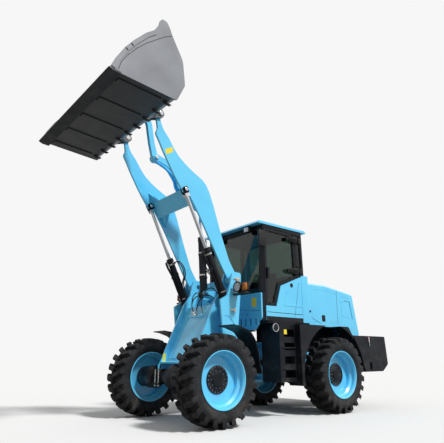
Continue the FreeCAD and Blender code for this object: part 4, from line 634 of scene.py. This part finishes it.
def makeHeadlamps():
    housings, glasses, bowls = (bmesh.new() for count in range(3))
    x, z, front = lamp["x"], lamp["z"], lamp["x"] + lamp["deep"]
    radius, half, edge = lamp["glass"]
    back, face, bulb, bulbEdge = lamp["bulb"]
    for y in (-lamp["y"], lamp["y"]):
        turned(housings, lamp["shell"], (x, y, z), (1, 0, 0), lamp["steps"], (0, 0, 1))
        rod(glasses, (front - half, y, z), (front + half, y, z), radius, lamp["steps"], edge)
        for index in range(lamp["bulbs"] + 1):
            turn = math.tau * index / lamp["bulbs"]
            spread = lamp["ring"] if index < lamp["bulbs"] else 0
            across, up = y + spread * math.cos(turn), z + spread * math.sin(turn)
            rod(bowls, (front + back, across, up), (front + face, across, up), bulb, 16, bulbEdge)
    addShapes(housings, lamp["mounts"])
    finishPiece("headlamp_shells", housings, "mouldedBlack", "front_frame", replaced=("headlamp_housings",))
    finishPiece("headlamp_glasses", glasses, "clearLens", "front_frame", replaced=("front_lenses",))
    finishPiece("headlamp_bowls", bowls, "lampBright", "front_frame")
    shapedPiece("turn_lamps", "amberLens", "front_frame", lamp["turn"])


makeHeadlamps()


# lock plates on the front frame's pins, each with a screw and a grease nipple; a head is x, z and pin radius

lock = {"heads": ((0.390, 2.000, 0.038), (0.465, 1.535, 0.028)), "y": (0.6123, 0.620), "edge": 0.002,
        "near": (0.4, 0.016, 0.006), "far": (0.085, 0.012, 0.010),
        "screw": (0.068, 0.612, 0.626, 0.009, 6, 0.0015), "nipple": (0.623, 0.628, 0.35, 20, 0.002)}


def makePinLocks():
    bm = bmesh.new()
    share, nearHalf, nearRound = lock["near"]
    far, farHalf, farRound = lock["far"]
    screwX, screwFoot, screwTop, *screw = lock["screw"]
    foot, top, size, *nipple = lock["nipple"]
    for x, z, pin in lock["heads"]:
        near, out = x + pin * share, x + screwX
        plate = [(near, z - nearHalf, nearRound), (near, z + nearHalf, nearRound),
                 (x + far, z + farHalf, farRound), (x + far, z - farHalf, farRound)]
        addShapes(bm, {"slabs": ((plate, *lock["y"], lock["edge"]),),
                       "rods": (((out, screwFoot, z), (out, screwTop, z), *screw),
                                ((x, foot, z), (x, top, z), pin * size, *nipple))})
    finishPiece("pin_locks", bm, "zincPlate", "front_frame")


makePinLocks()
print("front frame dressed")


# lift and tilt cylinders: clamps, ferrules and hoses; the lift hoses run by reach, off the axis and inward

lift = {"base": (0.465, 1.535), "eye": (1.327, 3.270), "y": 0.500, "barrel": 0.052, "hose": 0.0095,
        "clamps": ((0.900, 0.024), (0.300, 0.018)), "clampIn": 0.001, "clampOut": 0.007,
        "port": (-0.02, 0.030, 0.012, 0.002), "pair": (-0.030, 0.000),
        "route": ((0.925, 0, -0.004), (0.928, 0, 0.040), (0.935, -0.01, 0.110), (0.88, -0.02, 0.165),
                  (0.77, -0.02, 0.185), (0.66, -0.01, 0.150), (0.58, 0, 0.060), (0.50, 0, 0.012),
                  (0.36, 0, 0.010), (0.30, 0, 0.010)),
        "ferrule": (0.008, 0.0125, 0.002), "nut": (0.016, 0.016, 0.0015)}
tilt = {"base": (0.583, 1.820), "eye": (0.670, 3.380), "barrel": 0.050, "hose": 0.0085,
        "clamps": ((0.655, 0.022), (0.300, 0.022)), "clampIn": 0.001, "clampOut": 0.005,
        "routes": (((0.700, -0.115, 1.560), (0.715, -0.118, 1.62), (0.716, -0.122, 1.71),
                    (0.690, -0.128, 1.80), (0.630, -0.128, 1.86), (0.560, -0.122, 1.87),
                    (0.480, -0.112, 1.84), (0.400, -0.105, 1.80), (0.366, -0.100, 1.79)),
                   ((0.742, -0.030, 1.520), (0.752, -0.050, 1.58), (0.748, -0.085, 1.66),
                    (0.700, -0.100, 1.75), (0.620, -0.104, 1.81), (0.520, -0.104, 1.80),
                    (0.420, -0.104, 1.75), (0.366, -0.104, 1.72)),
                   ((0.742, 0.045, 1.520), (0.755, 0.060, 1.58), (0.752, 0.088, 1.66), (0.700, 0.100, 1.75),
                    (0.620, 0.104, 1.81), (0.520, 0.104, 1.80), (0.420, 0.104, 1.75), (0.366, 0.104, 1.72)),
                   ((0.700, 0.125, 1.560), (0.722, 0.130, 1.62), (0.735, 0.150, 1.72), (0.700, 0.170, 1.82),
                    (0.620, 0.185, 1.90), (0.520, 0.180, 1.91), (0.440, 0.160, 1.85), (0.366, 0.150, 1.80))),
        "ferrule": (-0.035, 0.030, 0.0115, 14, 0.002), "nut": (-0.045, -0.020, 0.0150, 6, 0.0015)}


def alongCylinder(kind, reach, off=0, y=0):
    # a point at a distance along a cylinder, off its axis in the XZ plane, at y
    base = Vector((kind["base"][0], 0, kind["base"][1]))
    along = (Vector((kind["eye"][0], 0, kind["eye"][1])) - base).normalized()
    spot = base + along * reach + Vector((along.z, 0, -along.x)) * off
    return Vector((spot.x, y, spot.z))


def addClamps(bm, kind, y):
    inner, outer = kind["barrel"] - kind["clampIn"], kind["barrel"] + kind["clampOut"]
    for reach, wide in kind["clamps"]:
        tube(bm, alongCylinder(kind, reach, 0, y), alongCylinder(kind, reach + wide, 0, y), inner, outer)


def makeLiftHoses(side, word):
    body, y, wall = f"lift_{word}_barrel", side * lift["y"], side * (lift["y"] - lift["barrel"])
    rings, ferrules = bmesh.new(), bmesh.new()
    addClamps(rings, lift, y)
    reach, wide = lift["clamps"][0]
    off, long, radius, edge = lift["port"]
    port = alongCylinder(lift, reach + wide / 2, off, wall)
    rod(rings, port, port - Vector((0, side * long, 0)), radius, 16, edge)
    finishPiece(f"lift_clamps_{word}", rings, "zincPlate", body)
    routes = [[alongCylinder(lift, reach, first + off, wall - side * inward)
               for reach, off, inward in lift["route"]] for first in lift["pair"]]
    short, ferrule, ferruleEdge = lift["ferrule"]
    thick, nut, nutEdge = lift["nut"]
    for route in routes:
        rod(ferrules, route[0], route[1] + Vector((0, side * short, 0)), ferrule, 14, ferruleEdge)
        rod(ferrules, route[0], route[0] - Vector((0, side * thick, 0)), nut, 6, nutEdge)
    finishPiece(f"lift_ferrules_{word}", ferrules, "zincPlate", body)
    hose(f"lift_hoses_{word}", routes, lift["hose"], body)


def makeTiltHoses():
    rings, ends = bmesh.new(), bmesh.new()
    addClamps(rings, tilt, 0)
    finishPiece("tilt_clamps", rings, "zincPlate", "tilt_barrel")
    hose("tilt_hoses", tilt["routes"], tilt["hose"], "front_frame")
    for route in tilt["routes"]:
        start = Vector(route[0])
        step = (Vector(route[1]) - start).normalized()
        for near, far, radius, steps, edge in (tilt["ferrule"], tilt["nut"]):
            rod(ends, start + step * near, start + step * far, radius, steps, edge)
    finishPiece("tilt_fittings", ends, "zincPlate", "front_frame")


for side, word in ((1, "left"), (-1, "right")):
    makeLiftHoses(side, word)
makeTiltHoses()

armLabel = {"slabs": ((((1.699, 3.826), (1.574, 3.895), (1.559, 3.821), (1.678, 3.746)), 0.518, 0.5192),)}
shapedPiece("arm_label", "yellowSticker", "boom", armLabel, (1,))
print("arms and cylinders dressed")


# bodywork: filled fields, seams, slot, latch, ribs, and painted shadow: a dark band below the cab side panel's
# lower edge and dark lines along the sill; a line is its width and how proud it stands

hoodY, panelY = 0.700, 0.7165
seamLine, sillShadowLine, ribLine, frameLine = (0.006, 0.0010), (0.008, 0.0012), (0.022, 0.004), (0.010, 0.0025)
fields = {"y": (hoodY - 0.0065, hoodY - 0.0004), "lineY": hoodY - 0.0008,
          "front": ((-1.227, 1.442), (-1.227, 1.983), (-1.619, 1.988), (-1.923, 1.948), (-1.923, 1.442)),
          "outer": ((-2.037, 1.342), (-2.037, 1.933), (-2.180, 1.913), (-2.328, 1.893), (-2.428, 1.342)),
          "inner": ((-2.062, 1.572), (-2.062, 1.815), (-2.153, 1.858), (-2.318, 1.850), (-2.380, 1.530))}
hoodSeams = {"slabs": ((oblong(-1.567, -1.473, 1.447, 1.557, 0.02, 0.02), hoodY - 0.0002, hoodY + 0.0012),),
             "strips": ((((-1.939, 2.026), (-1.919, 1.410)), hoodY - 0.0002, *seamLine),
                        (((-1.196, 1.500), (-1.450, 1.404)), hoodY - 0.0002, *seamLine)),
             "boxes": (((-1.185, hoodY + 0.0002, 1.588), (-1.145, hoodY + 0.010, 1.618), 0.003),)}
# the sill lines and the band along the panel's foot are painted shadow, where shade falls in the gap along the
# sill and below the panel's lower edge
panelSeamsAndShadows = {"strips": ((((-0.892, 2.050), (-0.760, 1.500)), panelY, 0.005, 0.0012),
                         (((-0.131, 1.536), (-0.955, 1.531)), panelY, *sillShadowLine),
                         (((-0.975, 1.531), (-1.128, 1.531)), hoodY + 0.0002, *sillShadowLine)),
              "slabs": ((oblong(-0.958, -0.108, 1.403, 1.472), panelY, panelY + 0.0020),),
              "rods": (((-0.711, panelY, 1.999), (-0.711, panelY + 0.002, 1.999), 0.036, 28),)}
panelRibs = {"strips": ((((-0.985, 1.665), (-1.128, 1.665)), hoodY + 0.0002, *ribLine),
                        (((-0.522, 1.664), (-0.955, 1.665)), panelY, *ribLine),
                        (((-0.524, 1.699), (-0.587, 1.877), (-0.860, 1.996)), panelY, *frameLine))}
panelKnobs = {"rods": (((-1.030, hoodY + 0.0003, 1.990), (-1.030, hoodY + 0.012, 1.990), 0.012, 20, 0.003),)}


def ringFace(bm, outer, inner, low, high):
    # a flat frame between two outlines with as many corners, given its thickness
    faces = []
    rows = [[bm.verts.new((u, low, v)) for u, v in outline] for outline in (outer, inner)]
    for index in range(len(outer)):
        after = (index + 1) % len(outer)
        faces.append(bm.faces.new((rows[0][index], rows[0][after], rows[1][after], rows[1][index])))
    made = bmesh.ops.extrude_face_region(bm, geom=faces)
    moved = [item for item in made["geom"] if isinstance(item, bmesh.types.BMVert)]
    bmesh.ops.translate(bm, verts=moved, vec=(0, high - low, 0))


def makeHoodFields():
    bm = bmesh.new()
    low, high = fields["y"]
    inner = fields["inner"]
    line = (*inner, inner[0])
    addShapes(bm, {"slabs": ((fields["front"], low, high),),
                   "strips": ((line, fields["lineY"], *frameLine),)})
    for side in (-1, 1):
        ringFace(bm, fields["outer"], inner, side * low, side * high)
    finishPiece("hood_fields", bm, "azurePaint", "hood")


makeHoodFields()
shapedPiece("hood_seams", "blackPaint", "hood", hoodSeams)
# the cab side's seams, with the painted shadow along its sill and below its lower edge
shapedPiece("panel_seams_and_shadows", "mouldedBlack", "rear_frame", panelSeamsAndShadows)
shapedPiece("panel_ribs", "azurePaint", "rear_frame", panelRibs)
shapedPiece("panel_knobs", "chromeRod", "rear_frame", panelKnobs)


# cab front: apron, slots in two parts, seam and blank label; a part is its foot, its top and the top's radius

apron = {"x": -0.014, "thick": 0.024, "edge": 0.003, "proud": 0.0012, "label": (0.0001, 0.0014),
         "outline": ((-0.640, 1.402), (0.640, 1.402), (0.632, 1.350, 0.04), (0.560, 1.270, 0.05),
                     (-0.560, 1.270, 0.05), (-0.632, 1.350, 0.04)),
         "slots": (0.228, 0.338, 0.454, 0.572), "slotHalf": 0.009,
         "slotParts": ((1.404, 1.444, 0.009), (1.334, 1.4015, 0.004)), "hole": (0.380, 1.507, 0.0015, 0.010),
         "seam": ((-0.666, 1.578), (0.191, 1.600), (0.666, 1.551)), "seamWide": 0.005,
         "labelCorners": ((0.489, 1.765), (0.589, 1.751), (0.584, 1.612), (0.484, 1.628))}


def makeApron():
    x, half, proud = apron["x"], apron["slotHalf"], apron["proud"]
    holeY, holeZ, deep, radius = apron["hole"]
    panel, dark, label = (bmesh.new() for count in range(3))
    slab(panel, apron["outline"], "YZ", x - apron["thick"], x, apron["edge"])
    finishPiece("cab_apron", panel, "azurePaint", "rear_frame")
    for side in (-1, 1):
        for out in apron["slots"]:
            y = out * side
            for low, high, top in apron["slotParts"]:
                slab(dark, oblong(y - half, y + half, low, high, half, top), "YZ", x, x + proud)
        rod(dark, (x, holeY * side, holeZ), (x + deep, holeY * side, holeZ), radius, 18)
    strip(dark, apron["seam"], "YZ", x, apron["seamWide"], proud)
    finishPiece("cab_front_slots", dark, "mouldedBlack", "rear_frame")
    near, far = apron["label"]
    slab(label, apron["labelCorners"], "YZ", x + near, x + far)
    finishPiece("cab_front_label", label, "yellowSticker", "rear_frame")


makeApron()


# door hinge arms with their ridges, and the pads behind them; z counts from each hinge's level

hinge = {"levels": (2.790, 2.246), "y": 0.7005, "armOut": 0.738, "padOut": 0.732, "edge": 0.006,
         "arm": ((-0.618, -0.036, 0.015), (-0.618, 0.026, 0.015), (-0.884, 0.062, 0.015),
                 (-0.884, -0.052, 0.015)),
         "pad": ((-0.925, -0.050, 0.012), (-0.925, 0.056, 0.012), (-1.000, 0.050, 0.015),
                 (-1.000, -0.045, 0.015)),
         "ridges": (-0.018, 0.000, 0.018), "ridge": (-0.860, -0.660, 0.736, 0.750, 0.004, 0.002)}


def makeDoorDressing():
    leaf, pads = bmesh.new(), bmesh.new()
    back, front, low, high, half, ridgeEdge = hinge["ridge"]
    for level in hinge["levels"]:
        arm, pad = ([(x, level + z, radius) for x, z, radius in hinge[word]] for word in ("arm", "pad"))
        slab(leaf, arm, "XZ", hinge["y"], hinge["armOut"], hinge["edge"])
        for off in hinge["ridges"]:
            z = level + off
            box(leaf, (back, low, z - half), (front, high, z + half), ridgeEdge)
        slab(pads, pad, "XZ", hinge["y"], hinge["padOut"], hinge["edge"])
    finishPiece("door_hinge_arms", leaf, "mouldedBlack", "left_door")
    finishPiece("door_hinge_pads", pads, "mouldedBlack", "rear_frame")


makeDoorDressing()


# mirrors on their stays and roof lamps on their posts

mirrorShells = {"boxes": (((-0.093, 0.726, 2.552), (0.058, 0.774, 2.828), 0.018),
                          ((-0.060, 0.360, 2.850), (0.012, 0.480, 2.945), 0.014)),
                "rods": (((-0.098, 0.702, 2.790), (-0.060, 0.748, 2.790), 0.010, 14),
                         ((-0.098, 0.702, 2.600), (-0.060, 0.748, 2.600), 0.010, 14),
                         ((-0.045, 0.420, 2.930), (-0.045, 0.420, 2.960), 0.012, 14))}
mirrorFaces = {"boxes": (((-0.078, 0.725, 2.572), (0.043, 0.728, 2.808), 0.001),)}
lampFaces = {"boxes": (((0.008, 0.370, 2.862), (0.019, 0.470, 2.933), 0.005),)}
shapedPiece("cab_mirror_shells", "mouldedBlack", "rear_frame", mirrorShells, replaced=("cab_fittings",))
shapedPiece("cab_mirror_faces", "chromeRod", "rear_frame", mirrorFaces)
shapedPiece("roof_lamp_faces", "lampBright", "rear_frame", lampFaces)


# wiper: places on the windscreen are (y, z, off the glass)

wiper = {"screen": (-0.0685, 1.836), "lean": 0.038 / 1.126, "motor": (0.02, 1.838, 0.018),
         "motorHalf": (0.02, 0.055, 0.02), "edge": 0.006,
         "bars": (((0.02, 1.84, 0.034), (-0.26, 2.20, 0.020), 0.006),
                  ((-0.26, 1.95, 0.016), (-0.26, 2.50, 0.016), 0.006),
                  ((-0.26, 2.20, 0.008), (-0.26, 2.20, 0.024), 0.010))}


def onScreen(y, z, off):
    x, foot = wiper["screen"]
    return Vector((x - wiper["lean"] * (z - foot) + off, y, z))


def makeWiper():
    bm = bmesh.new()
    motor, half = onScreen(*wiper["motor"]), Vector(wiper["motorHalf"])
    box(bm, motor - half, motor + half, wiper["edge"])
    for start, end, radius in wiper["bars"]:
        rod(bm, onScreen(*start), onScreen(*end), radius, 12)
    finishPiece("wiper", bm, "mouldedBlack", "rear_frame")


makeWiper()
print("bodywork dressed")


# cab inside: dash, console with its lever, buckle

dash = {"panel": ((-0.095, 1.560), (-0.095, 1.800, 0.02), (-0.160, 1.830, 0.02), (-0.225, 1.790, 0.02),
                  (-0.225, 1.710)), "panelY": (-0.300, 0.300), "panelEdge": 0.006,
        "console": ((-0.470, 1.722), (-0.470, 1.905, 0.03), (-0.760, 1.950, 0.03), (-0.760, 1.722)),
        "consoleY": (-0.360, -0.250), "consoleEdge": 0.012,
        "lever": ((-0.520, -0.305, 1.90), (-0.500, -0.305, 2.020), 0.008),
        "knob": ((-0.500, -0.305, 2.030), 0.020),
        "buckle": ((-0.640, 0.236, 1.750), (-0.600, 0.262, 1.835), 0.006)}


def makeDash():
    bm = bmesh.new()
    slab(bm, dash["panel"], "XZ", *dash["panelY"], dash["panelEdge"])
    slab(bm, dash["console"], "XZ", *dash["consoleY"], dash["consoleEdge"])
    rod(bm, *dash["lever"], 12)
    spot, radius = dash["knob"]
    place = Matrix.Translation(spot)
    bmesh.ops.create_uvsphere(bm, u_segments=16, v_segments=10, radius=radius, matrix=place)
    finishPiece("dash", bm, "mouldedBlack", "rear_frame")
    bm = bmesh.new()
    box(bm, *dash["buckle"])
    finishPiece("seat_buckle", bm, "orangeMark", "rear_frame")


makeDash()


# seat cushions: swollen by cloth under pressure, then sewn channels; a pad is its outline and half width

cushionPad = (-0.862, 1.736, 0.02), (-0.410, 1.736, 0.03), (-0.402, 1.826, 0.035), (-0.846, 1.822, 0.03)
backPad = (-0.852, 1.850, 0.03), (-0.756, 1.850, 0.035), (-0.840, 2.310, 0.035), (-0.922, 2.314, 0.03)
seat = {"pads": ((cushionPad, 0.214), (backPad, 0.206)),
        "edge": 0.022, "voxel": 0.009, "pressure": 4, "quality": 5, "cap": 0.009, "frames": 20,
        "channels": (-0.10, 0.10), "sunk": 0.005, "wide": 0.006}


def swellPad(piece):
    # blows the pad up a little, with no point going further than the cap
    before = [vert.co.copy() for vert in piece.data.vertices]
    cloth = piece.modifiers.new("Cloth", "CLOTH")
    cloth.settings.effector_weights.gravity = 0
    cloth.settings.use_pressure = True
    cloth.settings.uniform_pressure_force = seat["pressure"]
    cloth.settings.quality = seat["quality"]
    for step in range(1, seat["frames"] + 1):
        scene.frame_set(step)
    shaped = piece.evaluated_get(bpy.context.evaluated_depsgraph_get()).data
    after = [vert.co.copy() for vert in shaped.vertices]
    piece.modifiers.remove(cloth)
    scene.frame_set(1)
    for vert, start, end in zip(piece.data.vertices, before, after):
        step = end - start
        vert.co = start + step * min(1, seat["cap"] / max(step.length, 1e-6))


def makeCushion():
    joined = bmesh.new()
    for number, (profile, half) in enumerate(seat["pads"]):
        bm = bmesh.new()
        slab(bm, profile, "XZ", -half, half, seat["edge"])
        bmesh.ops.recalc_face_normals(bm, faces=bm.faces)
        mesh = bpy.data.meshes.new(f"seat_pad_{number}")
        bm.to_mesh(mesh)
        bm.free()
        piece = bpy.data.objects.new(mesh.name, mesh)
        scene.collection.objects.link(piece)
        remesh = piece.modifiers.new("Remesh", "REMESH")
        remesh.mode = "VOXEL"
        remesh.voxel_size = seat["voxel"]
        solid = bpy.data.meshes.new_from_object(piece.evaluated_get(bpy.context.evaluated_depsgraph_get()))
        piece.modifiers.remove(remesh)
        piece.data = solid
        swellPad(piece)
        solid.update()
        normals = [vert.normal.copy() for vert in solid.vertices]
        for vert, normal in zip(solid.vertices, normals):
            near = min(abs(vert.co.y - y) for y in seat["channels"])
            vert.co -= normal * seat["sunk"] * math.exp(-(near / seat["wide"]) ** 2)
        joined.from_mesh(solid)
        bpy.data.objects.remove(piece)
    cushion = finishPiece("driver_cushion", joined, "seatVinyl", "rear_frame", replaced=("seat_cushion",))
    finer = cushion.modifiers.new("Subdivision", "SUBSURF")
    finer.levels = 1
    finer.render_levels = 1
    print("cushion triangles about", len(cushion.data.polygons) * 8)


makeCushion()


# steps: treads, lamp in its ring, blank plate

stepTreads = {"boxes": (((-0.704, 0.8503, 0.984), (-0.299, 0.862, 1.006), 0.003),
                        ((-0.704, 0.8503, 0.669), (-0.299, 0.862, 0.691), 0.003),
                        ((-0.180, 0.790, 1.335), (-0.146, 0.830, 1.356), 0.002)),
              "rods": (((-0.163, 0.790, 1.290), (-0.163, 0.844, 1.290), 0.062, 32, 0.004),)}
stepLabels = {"slabs": ((oblong(-0.394, -0.332, 1.197, 1.267), 0.8502, 0.8514),)}
lampRing = {"place": (-0.163, 0.846, 1.290), "radius": 0.060, "thick": 0.007, "around": 10, "steps": 36}


def makeLampRings():
    bm = bmesh.new()
    x, y, z = lampRing["place"]
    turns = [math.tau * step / lampRing["around"] for step in range(lampRing["around"])]
    thick, radius = lampRing["thick"], lampRing["radius"]
    outline = [(thick * math.cos(turn), radius - thick * math.sin(turn)) for turn in turns]
    for side in (-1, 1):
        turned(bm, outline, (x, side * y, z), (0, 1, 0), lampRing["steps"])
    finishPiece("step_lamp_rings", bm, "chromeRod", "rear_frame")


shapedPiece("step_treads", "mouldedBlack", "rear_frame", stepTreads)
makeLampRings()
shapedPiece("step_labels", "yellowSticker", "rear_frame", stepLabels)


# counterweight: a pin in its two eyes, a tag and a slot

weightPins = {"rods": (((-2.440, 0.960, 1.034), (-2.438, 0.960, 1.196), 0.009, 16, 0.002),),
              "boxes": (((-2.452, 0.9502, 1.052), (-2.426, 0.966, 1.068), 0.002),
                        ((-2.452, 0.9502, 1.157), (-2.426, 0.966, 1.173), 0.002))}
weightTags = {"boxes": (((-2.448, 0.9502, 1.186), (-2.422, 0.954, 1.210), 0.001),)}
weightSlots = {"slabs": ((oblong(-2.530, -2.480, 0.678, 0.704, 0.012, 0.012), 0.9502, 0.9514),)}
shapedPiece("counterweight_pins", "chromeRod", "rear_frame", weightPins)
shapedPiece("counterweight_tags", "redMark", "rear_frame", weightTags)
shapedPiece("counterweight_slots", "mouldedBlack", "rear_frame", weightSlots)
print("cab and steps dressed")


# bucket: the seam of the side bands and the two marks on them, then the heads of the pins

bucketSeams = {"strips": ((((2.098, 5.161), (2.201, 5.098), (2.290, 5.024), (2.485, 4.854), (2.623, 4.708),
                            (2.741, 4.553), (2.828, 4.408), (2.863, 4.283)), 1.2402, 0.009, 0.0016),
                          (((2.686, 4.711), (2.710, 4.727)), 1.2502, 0.012, 0.006),
                          (((2.757, 4.611), (2.781, 4.627)), 1.2502, 0.012, 0.006))}
eyeHeads = {"rods": (((1.327, 0.5524, 3.270), (1.327, 0.5634, 3.270), 0.027, 28, 0.004),
                     ((1.327, 0.4476, 3.270), (1.327, 0.4366, 3.270), 0.027, 28, 0.004))}
crankHeads = {"rods": (((1.050, 0.1085, 3.560), (1.050, 0.122, 3.560), 0.034, 28, 0.004),
                       ((1.570, 0.0745, 3.895), (1.570, 0.088, 3.895), 0.030, 28, 0.004))}
bucketHeads = {"rods": (((1.795, 0.0762, 4.643), (1.795, 0.088, 4.643), 0.028, 28, 0.004),
                        ((1.823, 0.5663, 4.363), (1.823, 0.580, 4.363), 0.032, 28, 0.004))}
shapedPiece("bucket_seams", "bucketDark", "bucket", bucketSeams)
shapedPiece("rod_eye_heads_right", "chromeRod", "lift_right_rod", eyeHeads, (-1,))
shapedPiece("rod_eye_heads_left", "chromeRod", "lift_left_rod", eyeHeads, (1,))
shapedPiece("crank_pin_heads", "chromeRod", "bellcrank", crankHeads)
shapedPiece("bucket_pin_heads", "chromeRod", "bucket", bucketHeads)
print("bucket dressed")
